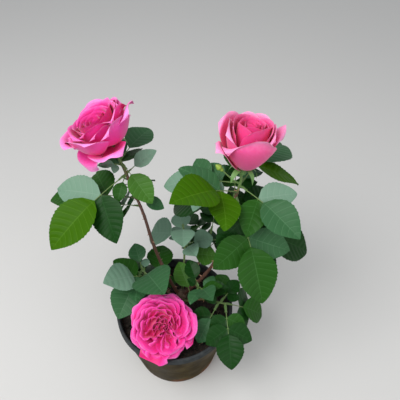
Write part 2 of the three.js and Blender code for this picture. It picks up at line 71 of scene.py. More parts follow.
# Limbs: the line, whose second half by points is leafy; the radius at foot, join and tip; and the
# leaves as share of the leafy half, compass, rise, reach, leaflets and the tints of the leaflets.
SHOOTS = {
    "left": {
        "path": [(5, 20, 147), (-14, 26, 205), (-31, 40, 262), (-42, 56, 310), (-56, 74, 345),
                 (-69, 92, 372), (-79, 104, 390)],
        "radii": (3, 2.3, 1.9), "red": 0.8, "broad": 0.66,
        "leaves": [
            (0.23, 177, -3, 139, 3, "gdg", 8), (0.59, -135, -20, 154, 3, "bdp"),
            (0.81, -45, -31, 77, 1, "m"), (0.6, -106, -30, 47, 1, "g"), (0.59, 26, 28, 58, 1, "p"),
            (0.25, -11, -23, 46, 1, "t"), (0.87, 65, -1, 92, 1, "t"),
            (0.76, 215, 27, 36, 3, "ppt"), (0.3, 100, -26, 94, 5, "dgdgd"),
            (0.12, 150, -30, 90, 5, "dgtgt"), (0.55, 112, 4, 92, 3, "ttg"),
        ],
    },
    "right": {
        "path": [(15, 18, 147), (44, 16, 195), (68, 20, 243), (82, 34, 295), (92, 48, 340),
                 (98, 55, 361), (102, 60, 376)],
        "radii": (3, 2.3, 1.9), "red": 0.9, "broad": 0.68,
        "leaves": [
            (0.89, -50, 6, 117, 3, "tpg"), (0.55, -73, -36, 160, 5, "gtgdd"),
            (0.67, 210, 28, 135, 3, "bbt"), (0.98, 171, 1, 118, 5, "pptpt"),
            (0.94, 56, 4, 156, 3, "ttb"), (0.05, 4, -26, 159, 3, "ddd"), (0.43, 152, -32, 130, 1, "d"),
            (0.4, 84, 6, 120, 5, "gdtgd"), (0.1, 46, 0, 108, 3, "dgd"), (0.22, 0, -18, 104, 5, "dgdgd"),
        ],
        "bud": (0.93, (75, 62, 398)),
    },
    "middle": {
        "path": [(12, 24, 140), (15, 44, 172), (17, 62, 202), (18, 76, 226), (15, 92, 250)],
        "radii": (2.2, 1.7, 1.2), "red": 0.1, "broad": 0.95,
        "leaves": [
            (0.61, 103, 8, 51, 1, "p"), (0.63, 153, -25, 82, 1, "p"), (0.98, -88, 12, 58, 1, "p"),
            (0.34, 20, -3, 53, 1, "p"), (0.36, -62, 20, 44, 1, "p"), (0.03, 5, -14, 58, 1, "m"),
            (0.3, 100, -10, 60, 3, "ppp"),
        ],
    },
    "low_left": {
        "path": [(4, 17, 137), (-12, 20, 152), (-26, 25, 166), (-42, 32, 179), (-56, 40, 190)],
        "radii": (2.4, 1.8, 1.3), "red": 0.3, "broad": 0.85,
        "leaves": [
            (0.55, 220, 36, 98, 3, "ptg"), (0.2, 84, 5, 77, 1, "g"), (0.98, -61, 30, 108, 1, "t"),
            (0.15, 17, -21, 37, 1, "g"), (0.95, 111, 22, 51, 1, "t"), (0.98, -112, -14, 90, 1, "t"),
            (0.88, 83, 7, 26, 1, "p"), (0.05, 114, -14, 60, 3, "dgd"), (0.5, 148, -16, 76, 5, "dgdgd"),
        ],
    },
    "low_right": {
        "path": [(16, 14, 137), (32, 6, 150), (48, 0, 160), (66, -8, 168), (86, -16, 173)],
        "radii": (2.2, 1.7, 1.3), "red": 0.3, "broad": 0.8,
        "leaves": [
            (0.98, -85, -20, 103, 5, "dddgd"), (0.98, 8, -38, 90, 3, "gdd"),
            (0.8, 48, 14, 50, 3, "dgd"), (0.74, -122, -27, 74, 3, "tdd"), (0.5, 66, -4, 62, 3, "gdd"),
        ],
    },
    "centre": {
        "path": [(14, 11, 140), (22, 2, 152), (30, -2, 165), (37, 0, 179), (41, 4, 192)],
        "radii": (2.2, 1.7, 1.3), "red": 0.1, "broad": 0.75,
        "leaves": [
            (0.03, 113, 26, 67, 1, "m"), (0.98, -67, 40, 71, 3, "tgt"), (0.98, 168, 45, 26, 1, "d"),
            (0.98, 112, 26, 49, 1, "d"), (0.6, -4, 18, 56, 3, "dtd"),
        ],
    },
    "back": {
        "path": [(13, 22, 137), (30, 44, 160), (44, 66, 182), (56, 86, 202), (64, 102, 218)],
        "radii": (2.4, 1.8, 1.3), "red": 0.3, "broad": 0.66,
        "leaves": [
            (0.9, 76, 14, 96, 5, "gdgdg"), (0.6, 14, -8, 94, 5, "dgdgd"), (0.3, 40, -6, 70, 3, "gtd"),
            (0.15, 110, -8, 70, 3, "dgd"), (0.72, 122, -10, 84, 5, "dgdgd"),
        ],
    },
    "low": {
        "path": [(9, 14, 135), (4, -2, 140), (-2, -14, 141), (-10, -30, 143), (-17, -40, 148)],
        "radii": (2.6, 2.3, 2), "red": 0.5, "broad": 0.75,
        "leaves": [
            (0.25, 184, 4, 66, 3, "ggd"),
        ],
    },
}

# Blooms: the stalk's end, the axis, and the room that leaves leave as low end, high end and radius. A
# ring starts with count, first compass and width, a guard or inner petal with compass and width. Then
# come belly, rim and tip as distance from the axis and height, and for some guards the rim's slope.
# Rings and guards are as in the solids. The spiral fills the inside, from its outermost petal to the
# heart: count, first compass, then radius, width, height and lean of the tip, each from and to.
BLOOMS = {
    "left": {
        "stalk": (-85, 109, 403), "axis": (-0.4, 0.05, 0.915), "room": (0, 70, 49),
        "curl": 3, "twist": 3, "ruffle": 0.8, "slot": "petal_hot", "heart": "furled",
        "rings": [(4, 20, 76, (24, 20), (33, 42), (34, 58))],
        "guards": [
            (2, 64, (26, 14), (46, 37), (56, 56)), (194, 92, (28, 16), (45, 37), (52, 51), 3),
            (-132, 58, (28, 7), (43, 7), (52, 0)), (-34, 72, (29, 12), (44, 34), (46, 53)),
            (-78, 62, (29, 6), (44, 12), (52, 18)), (-124, 98, (31, 11), (46, 35), (48, 55), 4),
            (46, 58, (28, 18), (40, 42), (41, 56)), (100, 64, (28, 18), (40, 42), (43, 60)),
        ],
        "inner": [(26, 64, (24, 16), (37, 42), (39, 59)), (-12, 56, (25, 16), (39, 42), (43, 62)),
                  (-56, 62, (24, 14), (35, 36), (37, 52)), (62, 58, (23, 18), (35, 42), (37, 58)),
                  (-150, 64, (25, 14), (38, 34), (42, 48))],
        "spiral": {"count": 17, "first": 70, "radius": (30, 4), "width": (88, 22),
                   "height": (58, 49), "lean": (1.04, 0.9)},
    },
    "right": {
        "stalk": (103, 63, 389), "axis": (0.145, 0.213, 0.966), "room": (0, 88, 42),
        "curl": 4, "twist": 3, "ruffle": 0.5, "slot": "petal_light", "heart": "furled",
        "rings": [],
        "guards": [
            (-96, 88, (20, 20), (36, 49), (35, 69), 14), (28, 38, (20, 20), (38, 50), (53, 76)),
            (196, 34, (20, 18), (38, 42), (43, 50)), (62, 66, (21, 24), (36, 56), (34, 82)),
            (134, 66, (21, 24), (36, 56), (34, 82)),
            (178, 84, (21, 26), (32, 58), (28, 80)), (2, 80, (21, 26), (31, 58), (27, 80)),
            (92, 66, (20, 26), (30, 58), (26, 83)), (-80, 66, (20, 24), (30, 46), (26, 62)),
        ],
        "inner": [],
        "spiral": {"count": 15, "first": 20, "radius": (26, 3), "width": (80, 18),
                   "height": (82, 77), "lean": (0.98, 0.8)},
    },
    "low": {
        "stalk": (-17, -47, 157), "axis": (0.084, -0.461, 0.883), "room": (8, 60, 52),
        "curl": 2, "twist": 3, "ruffle": 1.5, "slot": "petal_hot", "heart": "ruffled",
        "rings": [(5, 10, 50, (24, 16), (38, 29), (45, 30)), (8, 25, 46, (22, 12), (42, 20), (53, 20))],
        "guards": [],
        "inner": [],
        "spiral": {"count": 42, "first": 0, "radius": (44, 3), "width": (46, 18),
                   "height": (30, 38), "lean": (1.2, 0.8)},
    },
}
PETAL = {"thick": 0.5, "rows": 18, "columns": 16, "attach": 4, "crown": 0.16, "roll": 3.5}
# What a petal has unless it is told otherwise. Crown, cusp and taper are shares of its size, and its
# tone runs from the foot to the rim, 0 the deepest and 1 the palest. The deep foot is partly the petal's
# own deeper colour and partly painted shade, and the pale rim partly its own paler edge and partly a
# painted highlight.
PETAL_LOOK = {"loose": 1.0, "wave": 0.5, "crease": 0.8, "roll": PETAL["roll"], "cusp": 0.0,
              "crown": PETAL["crown"], "taper": 0.4, "slope": 0.0, "spin": 0.0, "tone": (0.35, 0.85)}
# Two kinds of heart: how much the petals' heights shake and their sides hang loose, their waves as a
# share of the width, how far their rims roll, and the waves of the rings round them.
HEARTS = {
    "furled": {"shake": 0.8, "loose": 0.35, "wave": 0.006, "roll": 2.2, "ring_wave": 0.6},
    "ruffled": {"shake": 2.4, "loose": 0.8, "wave": 0.05, "roll": 3.2, "ring_wave": 1.6},
}
HIP = {"radius": 6, "height": 10, "stalk": 1.9}
GOLDEN = 137.5
# The petals' map for a bake: cells by cells places with margins, half of them for the inner sides and
# half for the outer. Where a bloom has more petals than that, the next ones share the places.
MAP = {"cells": 8, "margin": 0.06}

# Leaf tints as linear colours: blade, vein and underside, then the blade's roughness and shine. The
# blue-grey of t and p is partly the leaves' own colour and partly a painted bluish sheen.
TINTS = {
    "b": ((0.036, 0.112, 0.001), (0.062, 0.158, 0.008), (0.08, 0.17, 0.04), 0.45, 0.06),
    "m": ((0.050, 0.152, 0.017), (0.086, 0.205, 0.046), (0.09, 0.18, 0.07), 0.48, 0.16),
    "g": ((0.017, 0.078, 0.007), (0.036, 0.120, 0.024), (0.055, 0.13, 0.045), 0.45, 0.11),
    "d": ((0.006, 0.042, 0.004), (0.015, 0.066, 0.013), (0.035, 0.09, 0.035), 0.42, 0.14),
    # t and p: blue-grey greens, partly painted sheen.
    "t": ((0.031, 0.110, 0.038), (0.060, 0.158, 0.068), (0.065, 0.14, 0.07), 0.5, 0.2),
    "p": ((0.145, 0.262, 0.178), (0.185, 0.300, 0.215), (0.13, 0.22, 0.14), 0.6, 0.25),
}
BLADE, VEIN, UNDER = range(3)


# Plain vector helpers.
def vec(*values):
    return np.array(values, float)


def unit(v):
    return v / np.linalg.norm(v, axis=-1, keepdims=True)


def mix(a, b, t):
    return a + (b - a) * t


def heading(compass, rise):
    c, r = math.radians(compass), math.radians(rise)
    return vec(math.cos(c) * math.cos(r), math.sin(c) * math.cos(r), math.sin(r))


def turn_about(out, aside, compass):
    """Two level coordinates, turned round the axis by a compass angle."""
    c, s = math.cos(math.radians(compass)), math.sin(math.radians(compass))
    return out * c - aside * s, out * s + aside * c


class Line:
    """A smooth line through a few points, evenly spaced in its parameter."""

    def __init__(self, points):
        p = np.array(points, float)
        self.points = np.vstack([2 * p[0] - p[1], p, 2 * p[-1] - p[-2]])
        self.spans = len(p) - 1

    def at(self, t):
        t = np.atleast_1d(np.asarray(t, float))
        place = np.clip(t, 0, 1) * self.spans
        k = np.minimum(place.astype(int), self.spans - 1)
        w = (place - k)[:, None]
        a, b, c, d = (self.points[k + i] for i in range(4))
        t0, t1 = 0.5 * (c - a), 0.5 * (d - b)
        return b + t0 * w + (3 * (c - b) - 2 * t0 - t1) * w ** 2 + (2 * (b - c) + t0 + t1) * w ** 3

    def way(self, t):
        t = np.atleast_1d(np.asarray(t, float))
        step = 1e-4
        return unit(self.at(np.clip(t + step, 0, 1)) - self.at(np.clip(t - step, 0, 1)))


# Meshes.
class Shape:
    """Collects vertices and faces, each face's material, and each vertex's tone and map place."""

    def __init__(self):
        self.points, self.faces, self.kinds, self.tones, self.maps = [], [], [], [], []
        self.count = 0

    def add(self, points, faces, kinds, tones=0.0, maps=None):
        self.points.append(points)
        self.faces.append(faces + self.count)
        self.kinds.append(np.broadcast_to(kinds, len(faces)))
        self.tones.append(np.broadcast_to(np.asarray(tones, float).ravel(), len(points)))
        self.maps.append(np.zeros((len(points), 2)) if maps is None else maps)
        self.count += len(points)

    def build(self, name, materials, tone_name=None, map_name=None):
        """The mesh object. Corners that share a vertex are merged, and faces without area go."""
        faces, marks = [], []
        for quad, kind in zip(np.vstack(self.faces).tolist(), np.concatenate(self.kinds).tolist()):
            face = [v for i, v in enumerate(quad) if v != quad[i - 1]]
            if len(set(face)) > 2:
                faces.append(face)
                marks.append(kind)
        mesh = bpy.data.meshes.new(name)
        mesh.from_pydata((np.vstack(self.points) * MM).tolist(), [], faces)
        for material in materials:
            mesh.materials.append(material)
        mesh.polygons.foreach_set("material_index", marks)
        mesh.polygons.foreach_set("use_smooth", [True] * len(faces))
        if tone_name:
            tone = mesh.attributes.new(tone_name, "FLOAT", "POINT")
            tone.data.foreach_set("value", np.concatenate(self.tones).astype(np.float32))
        if map_name:
            corner = np.zeros(len(mesh.loops), np.int32)
            mesh.loops.foreach_get("vertex_index", corner)
            layer = mesh.uv_layers.new(name=map_name)
            layer.data.foreach_set("uv", np.vstack(self.maps)[corner].astype(np.float32).ravel())
        mesh.set_sharp_from_angle(angle=math.radians(80))
        piece = bpy.data.objects.new(name, mesh)
        bpy.context.scene.collection.objects.link(piece)
        return piece


def quads(index, ring=False):
    """Faces over a grid of vertex numbers, closed round its columns where it is a ring."""
    if ring:
        index = np.hstack([index, index[:, :1]])
    return np.stack([index[:-1, :-1], index[:-1, 1:], index[1:, 1:], index[1:, :-1]], -1).reshape(-1, 4)


def turned_over(faces, over=True):
    """The faces, seen from the other side where over is true, and cut along the same diagonals."""
    return np.roll(faces[:, ::-1], 1, axis=1) if over else faces


def add_shell(shape, upper, under, kinds, pinched=(), over=False, tones=0.0, maps=None):
    """A thin closed shell of two grids that share their margin. A pinched row is a single vertex."""
    index = np.arange(upper[..., 0].size).reshape(upper.shape[:2])
    for row in pinched:
        index[row] = index[row, 0]
    lower = index + index.size
    lower[[0, -1]] = index[[0, -1]]
    lower[:, [0, -1]] = index[:, [0, -1]]
    faces = np.vstack([quads(index), turned_over(quads(lower))])
    points = np.vstack([upper.reshape(-1, 3), under.reshape(-1, 3)])
    shape.add(points, turned_over(faces, over), kinds, tones, maps)


def add_rings(shape, rings, first, last, kind, tones=0.0, over=False):
    """A closed skin over a row of rings, with a point at each end."""
    count, sides = rings.shape[:2]
    size = count * sides
    end = np.full((1, sides), size)
    faces = quads(np.vstack([end, np.arange(size).reshape(count, sides), end + 1]), ring=True)
    tones = np.broadcast_to(tones, count)
    tones = np.concatenate([np.repeat(tones, sides), tones[:1], tones[-1:]])
    shape.add(np.vstack([rings.reshape(-1, 3), first, last]), turned_over(faces, over), kind, tones)


def round_angles(sides):
    return np.arange(sides) * TAU / sides


def level_rings(reach, heights, at=(0, 0)):
    """Rings of points round upright axes, by the reach of every point."""
    angles = round_angles(reach.shape[1])
    x, y = at
    return np.stack([x + reach * np.cos(angles), y + reach * np.sin(angles), heights + 0 * reach], -1)


def tube(shape, centres, radii, sides, kind, tones=0.0, swell=1.0):
    """A closed tube round a row of centres. Swell is a factor for the radius at each of its points."""
    ways = unit(np.gradient(centres, axis=0))
    reach = np.broadcast_to(radii, len(centres))[:, None] * np.broadcast_to(swell, (len(centres), sides))
    angles = round_angles(sides)[:, None]
    side = vec(1, 0.2, 0.1)
    rings = []
    for centre, way, radius in zip(centres, ways, reach):
        side = unit(side - side.dot(way) * way)
        ring = np.cos(angles) * side + np.sin(angles) * np.cross(way, side)
        rings.append(centre + radius[:, None] * ring)
    add_rings(shape, np.array(rings), centres[0], centres[-1], kind, tones)


def cone(shape, foot, tip, radius, kind, tones=0.0, sides=5, bend=(0, 0, 0), steps=3):
    """A small curved cone, such as a thorn or a bit of straw, blunt at the tip."""
    s = np.linspace(0, 1, steps + 1)
    centres = mix(vec(*foot), vec(*tip), s[:, None]) + vec(*bend) * 4 * (s * (1 - s))[:, None]
    tube(shape, centres, mix(radius, 0.07 * radius, s), sides, kind, tones)


# Growth, by the solids' own rule.
def half_width(u):
    """Half a leaflet's width at a share of its length, as a share of its widest."""
    return np.sin(math.pi * np.clip(u, 0, 1) ** 0.85) ** 0.8


def blade_rise(blade, u, v):
    """How far a blade, folded along its midrib and arched along its length, stands off a flat one."""
    fold = LEAF["fold"] * np.abs(v) * half_width(u) * blade["width"]
    return fold - LEAF["arch"] * blade["length"] * u * u


def blade_points(blade, u, v, lift=0.0):
    rise = blade_rise(blade, u, v) + lift
    return (blade["base"] + (u * blade["length"])[..., None] * blade["along"]
            + (v * half_width(u) * blade["width"])[..., None] * blade["across"]
            + rise[..., None] * blade["normal"])


def plan_leaf(base, compass, rise, reach, count, broad, lean=LEAF["lean"]):
    """A leaf's stalk, the place and size of its leaflets, and the points by which it looks for room."""
    start, pairs = LEAFLETS[count]
    steps = 2
    stalk = [np.array(base, float)]

    def pitch(share):
        return rise + LEAF["droop"] * (0.5 - share)

    for k in range(steps):
        way = heading(compass, pitch((k + 0.5) / steps * start))
        stalk.append(stalk[k] + way * (reach * start / steps))
    across = heading(compass - 90, -lean * math.cos(math.radians(compass)))
    blades = []
    places = [(1, 0, 1)] + [(share, side, size) for share, size in pairs for side in (-1, 1)]
    for share, side, size in places:
        place = min(share * steps, steps - 1e-9)
        k = int(place)
        at = mix(stalk[k], stalk[k + 1], place - k)
        ahead = heading(compass, pitch(start * share) - LEAF["side_dip" if side else "end_dip"])
        spread = math.radians(side * LEAF["spread"])
        up = unit(np.cross(across, ahead))
        along = ahead * math.cos(spread) + np.cross(ahead, up) * math.sin(spread)
        length = reach * (1 - start) * size
        blades.append({"base": at, "along": along, "across": unit(np.cross(along, up)), "normal": up,
                       "length": length, "width": length * broad / 2, "side": side})
    u, v = np.meshgrid((np.arange(9) + 0.3) / 8.6, np.arange(-2, 3) / 2, indexing="ij")
    samples = np.vstack([blade_points(blade, u, v).reshape(-1, 3) for blade in blades])
    return {"stalk": stalk, "blades": blades, "samples": samples, "compass": compass}


def inside_room(blade, points):
    """Which of the points lie within a blade's clear room."""
    away = points - blade["base"]
    x, y, z = away @ blade["along"], away @ blade["across"], away @ blade["normal"]
    u = x / blade["length"]
    half = half_width(u) * blade["width"]
    v = np.where(half > 0, np.minimum(np.abs(y) / np.maximum(half, 1e-9), 1), 0)
    clear = ROOM["leaf"]
    return ((x >= -clear) & (x <= blade["length"] + clear) & (np.abs(y) <= half + clear)
            & (np.abs(z - blade_rise(blade, u, v)) < clear))


def limb_radius(shoot, share):
    foot, join, tip = shoot["radii"]
    return np.where(share < 0.5, mix(foot, join, share * 2), mix(join, tip, share * 2 - 1))


def rods_of(name, shoot):
    line = Line(shoot["path"])
    rods = []
    for k in range(RODS):
        owner = ("cane_" if k < RODS / 2 else "shoot_") + name
        share = k / RODS
        rods.append((line.at(share)[0], line.at((k + 1) / RODS)[0], limb_radius(shoot, share), owner))
    return rods


def wall_at(z):
    """The radius of the pot's outside at a height."""
    return mix(POT["base"], POT["rim"] - POT["step"], z / (POT["height"] - POT["lip"]))


def inner_wall_at(z):
    return wall_at(z) - POT["wall"]


def points_are_free(points, rods, owner):
    """Whether all the points keep clear of the pot, the soil, the blooms and the limbs but owner."""
    r = np.hypot(points[:, 0], points[:, 1])
    z = points[:, 2]
    clear = ROOM["pot"]
    if np.any((z < POT["height"] + clear) & (r > inner_wall_at(z) - clear) & (r < POT["rim"] + clear)):
        return False
    if np.any((z < SOIL["level"] + SOIL["dome"] + ROOM["soil"]) & (r < POT["rim"])):
        return False
    for bloom in BLOOMS.values():
        axis = unit(vec(*bloom["axis"]))
        away = points - vec(*bloom["stalk"])
        height = away @ axis
        out = np.sqrt(np.maximum((away ** 2).sum(1) - height ** 2, 0))
        low, high, radius = bloom["room"]
        if np.any((height > low) & (height < high) & (out < radius)):
            return False
    for start, end, radius, limb in rods:
        if limb == owner:
            continue
        way = end - start
        share = np.clip((points - start) @ way / way.dot(way), 0, 1)
        away = points - start - share[:, None] * way
        if np.any(np.linalg.norm(away, axis=1) <= radius + ROOM["limb"]):
            return False
    return True


def leaf_is_free(leaf, placed, rods, owner):
    joints = np.array(leaf["stalk"][1:])
    if not points_are_free(leaf["samples"], rods, None) or not points_are_free(joints, rods, owner):
        return False
    mine = np.vstack([leaf["samples"], joints])
    for other in placed:
        if any(inside_room(blade, mine).any() for blade in other["blades"]):
            return False
        theirs = np.vstack([other["samples"], other["stalk"][1:]])
        if any(inside_room(blade, theirs).any() for blade in leaf["blades"]):
            return False
    return True


def grow_leaves():
    """Every leaf that finds room, row by row, each with the first turn and tilt that gives it room."""
    rods = [rod for name, shoot in SHOOTS.items() for rod in rods_of(name, shoot)]
    placed = []
    for name, shoot in SHOOTS.items():
        line = Line(shoot["path"])
        for share, compass, rise, reach, count, tints, *lean in shoot["leaves"]:
            base = line.at(0.5 + share / 2)[0]
            for turn, tilt in TURNS:
                leaf = plan_leaf(base, compass + turn, rise + tilt, reach, count, shoot["broad"], *lean)
                if leaf_is_free(leaf, placed, rods, "shoot_" + name):
                    leaf.update(shoot=name, share=share, tints=tints)
                    placed.append(leaf)
                    break
    return placed


# Leaflets in full: toothed margins, a midrib, side veins and a quilted blade.
VEINS = {"spacing": 9.5, "least": 4, "most": 9, "first": 0.45, "slant": 0.62}
# Rows from one side vein to the next: their share of the way, and how far the tooth stands out there.
# The first two bound the vein itself.
ROWS = [(0, 1), (0.06, 1), (0.4, 0), (0.62, 0.8), (0.84, 0)]
COLUMNS = np.array([-1, -0.94, -0.7, -0.36, -0.022, 0.022, 0.36, 0.7, 0.94, 1])
TOOTH = {"deep": 0.045, "ahead": 0.014}
# Shares of a leaflet's width or length, but for the thickness of its blade and midrib.
RELIEF = {"puff": 0.035, "wave": 0.05, "twist": 0.05, "tip": 0.04, "thick": 0.32, "rib": 0.45}
# Where leaflets overlap, the end one rises and the front half of a side one sinks, both soon after
# the foot and soon off the midrib.
OVERLAP = {"rise": 0.03, "sink": 0.05, "from_foot": 6, "from_midrib": 4}


def vein_share(s, veins):
    """How many side veins lie between a leaflet's foot and a share of its length."""
    return s * (veins + 1 - VEINS["first"]) - VEINS["first"]


def quilting(blade, s, v, veins, phase):
    """Puffed skin between the side veins, waves, a twist and a bent tip, off the plain blade."""
    along = vein_share(s, veins)
    puff = RELIEF["puff"] * np.sin(math.pi * np.clip((along % 1 - 0.09) / 0.91, 0, 1)) ** 1.5
    puff *= (along > 0) * (1 - np.abs(v) ** 4) * np.minimum(np.abs(v) * 3, 1)
    wave = RELIEF["wave"] * v ** 2 * np.sin(TAU * 1.3 * s + phase[0] + 1.2 * np.sign(v))
    twist = RELIEF["twist"] * v * math.sin(phase[1])
    tip = RELIEF["tip"] * s ** 4 * (1 + 0.6 * math.sin(phase[2]))
    return blade["width"] * (puff + (wave + twist) * 4 * s * (1 - s)) - blade["length"] * tip


def layer(blade, s, u, v):
    """How far the end leaflet lies above, and a side one below, where they overlap."""
    ends = np.minimum(s * OVERLAP["from_foot"], 1)
    if not blade["side"]:
        return OVERLAP["rise"] * blade["length"] * ends
    front = np.maximum(-blade["side"] * v, 0)
    unfolded = (blade_rise(blade, u, v) - blade_rise(blade, u, 0)) * front
    sink = unfolded + OVERLAP["sink"] * blade["length"]
    return -np.minimum(front * OVERLAP["from_midrib"], 1) * sink * ends


def leaflet(shape, blade, tint, rng):
    """One leaflet as a thin closed shell. Its rows follow the side veins out to the margin."""
    veins = int(np.clip(round(blade["length"] / VEINS["spacing"]), VEINS["least"], VEINS["most"]))
    parts, teeth = np.array(ROWS).T
    spans = veins + 1 - VEINS["first"]
    rows = np.concatenate([[0], *[(k + VEINS["first"] + parts) / spans for k in range(veins)], [1]])
    tooth = np.concatenate([[0], *[teeth] * veins, [0]])[:, None]
    s, v = np.meshgrid(rows, COLUMNS, indexing="ij")
    tooth = tooth * np.abs(v) ** 12
    slant = VEINS["slant"] * s * (1 - s) * np.abs(v) ** 1.2
    u = np.clip(s + slant + TOOTH["ahead"] * tooth * (s < 1), 0, 1)
    lift = quilting(blade, s, v, veins, rng.uniform(0, TAU, 3)) + layer(blade, s, u, v)
    top = blade_points(blade, u, v * (1 + TOOTH["deep"] * tooth), lift)
    rib = RELIEF["rib"] * (1 - 0.8 * s) * (np.abs(v) < 0.05)
    thick = (rib + RELIEF["thick"] * (1 - np.abs(v) ** 8)) * (s > 0) * (s < 1)
    kinds = np.full((2, len(rows) - 1, len(COLUMNS) - 1), BLADE)
    kinds[1] = UNDER
    kinds[0, 1::len(ROWS), 1:-1] = VEIN
    kinds[:, :, len(COLUMNS) // 2 - 1] = VEIN
    kinds += 3 * list(TINTS).index(tint)
    add_shell(shape, top, top - thick[..., None] * blade["normal"], kinds.ravel(), pinched=(0, -1))


# Materials.
def surface(name, rough, shine):
    """A new material and its shader."""
    material = bpy.data.materials.new(name)
    material.use_nodes = True
    shader = material.node_tree.nodes["Principled BSDF"]
    shader.inputs["Roughness"].default_value = rough
    shader.inputs["Specular IOR Level"].default_value = shine
    return material, shader


def plain(name, color, rough, shine=0.5):
    """A surface of one colour, for pieces whose colours are dealt out by leaflet."""
    material, shader = surface(name, rough, shine)
    shader.inputs["Base Color"].default_value = (*color, 1)
    return material


class Nodes:
    """Short calls for building a material's pattern."""

    def __init__(self, name, rough, shine=0.5):
        self.material, self.shader = surface(name, rough, shine)
        self.tree = self.material.node_tree
        self.place = self.make("ShaderNodeTexCoord").outputs["Object"]

    def make(self, kind, **values):
        node = self.tree.nodes.new(kind)
        for key, value in values.items():
            setattr(node, key, value)
        return node

    def feed(self, source, socket):
        """Sets the socket to a number or a colour, or links an output to it."""
        if isinstance(source, (int, float)):
            socket.default_value = source
        elif isinstance(source, tuple):
            socket.default_value = (*source, 1)
        else:
            self.tree.links.new(source, socket)

    def noise(self, scale, detail=4, rough=0.55, stretch=None):
        node = self.make("ShaderNodeTexNoise")
        node.inputs["Scale"].default_value = scale
        node.inputs["Detail"].default_value = detail
        node.inputs["Roughness"].default_value = rough
        place = self.place
        if stretch:
            mapping = self.make("ShaderNodeMapping")
            mapping.inputs["Scale"].default_value = stretch
            self.feed(place, mapping.inputs["Vector"])
            place = mapping.outputs["Vector"]
        self.feed(place, node.inputs["Vector"])
        return node.outputs["Fac"]

    def ramp(self, value, *stops):
        """A ramp of colours, where a stop's colour may be one number for a grey."""
        node = self.make("ShaderNodeValToRGB")
        elements = node.color_ramp.elements
        while len(elements) < len(stops):
            elements.new(0.5)
        for element, (place, color) in zip(elements, stops):
            element.position = place
            element.color = (*color, 1) if isinstance(color, tuple) else (color, color, color, 1)
        self.feed(value, node.inputs["Fac"])
        return node.outputs["Color"]

    def blend(self, share, a, b):
        node = self.make("ShaderNodeMix", data_type="RGBA", blend_type="MIX")
        self.feed(share, node.inputs["Factor"])
        self.feed(a, node.inputs[6])
        self.feed(b, node.inputs[7])
        return node.outputs[2]

    def math(self, kind, a, b):
        node = self.make("ShaderNodeMath", operation=kind)
        self.feed(a, node.inputs[0])
        self.feed(b, node.inputs[1])
        return node.outputs[0]

    def tone(self):
        return self.make("ShaderNodeAttribute", attribute_name="tone").outputs["Fac"]

    def height(self):
        node = self.make("ShaderNodeSeparateXYZ")
        self.feed(self.place, node.inputs[0])
        return node.outputs["Z"]

    def color(self, source):
        self.feed(source, self.shader.inputs["Base Color"])

    def rough(self, source):
        self.feed(source, self.shader.inputs["Roughness"])

    def bump(self, height, strength, distance):
        node = self.make("ShaderNodeBump")
        node.inputs["Strength"].default_value = strength
        node.inputs["Distance"].default_value = distance * MM
        self.feed(height, node.inputs["Height"])
        self.feed(node.outputs["Normal"], self.shader.inputs["Normal"])


def leaf_materials():
    """Three materials a tint, in the order of BLADE, VEIN and UNDER."""
    found = []
    for key, (blade, vein, under, rough, shine) in TINTS.items():
        found.append(plain("leaf_blade_" + key, blade, rough, shine))
        found.append(plain("leaf_vein_" + key, vein, rough + 0.05, shine))
        found.append(plain("leaf_under_" + key, under, 0.6, shine))
    return found


# The hot pink and the lighter pink, from the heart's deepest tone to the palest rim. The deepest stops
# are partly painted shade in the heart and between the petals, the palest partly painted rim highlights.
PETAL_RAMPS = {
    "petal_hot": [(0.0, (0.42, 0.0, 0.07)), (0.3, (0.76, 0.006, 0.19)), (0.65, (0.88, 0.031, 0.345)),
                  (1.0, (0.93, 0.25, 0.64))],
    "petal_light": [(0.0, (0.58, 0.004, 0.11)), (0.3, (0.80, 0.022, 0.20)), (0.65, (0.86, 0.070, 0.285)),
                    (1.0, (0.93, 0.30, 0.56))],
}


def petal_material(name, stops):
    """Petal colour by tone, partly painted shade and highlight, with faint streaks."""
    n = Nodes(name, 0.5)
    streak = n.math("MULTIPLY", n.math("SUBTRACT", n.noise(260, 3), 0.5), 0.22)
    n.color(n.ramp(n.math("ADD", n.tone(), streak), *stops))
    n.shader.inputs["Sheen Weight"].default_value = 0.25
    n.shader.inputs["Subsurface Weight"].default_value = 0.12
    n.shader.inputs["Subsurface Scale"].default_value = 2 * MM
    return n.material


def stem_material():
    """Cane skin: red-brown where the tone is low, fresh green where it is high, with fine scars."""
    n = Nodes("cane_skin", 0.5)
    patch = n.math("MULTIPLY", n.math("SUBTRACT", n.noise(90), 0.5), 0.5)
    tone = n.math("ADD", n.tone(), patch)
    skin = n.ramp(tone, (0.0, (0.075, 0.028, 0.018)), (0.35, (0.14, 0.07, 0.035)),
                  (0.6, (0.11, 0.15, 0.04)), (1.0, (0.12, 0.23, 0.055)))
    scars = n.ramp(n.noise(700, 2), (0.6, 0), (0.75, 0.5))
    n.color(n.blend(scars, skin, (0.30, 0.24, 0.15)))
    n.bump(n.noise(500, 3, stretch=(1, 1, 0.25)), 0.35, 0.4)
    return n.material


def bark_material():
    """Old wood of the trunk: grey-brown, fissured along its length."""
    n = Nodes("trunk_bark", 0.9)
    grain = n.noise(220, 6, 0.65, stretch=(1, 1, 0.22))
    n.color(n.ramp(grain, (0.3, (0.035, 0.022, 0.014)), (0.5, (0.13, 0.085, 0.055)),
                   (0.7, (0.27, 0.2, 0.14))))
    n.bump(grain, 0.8, 1.2)
    return n.material


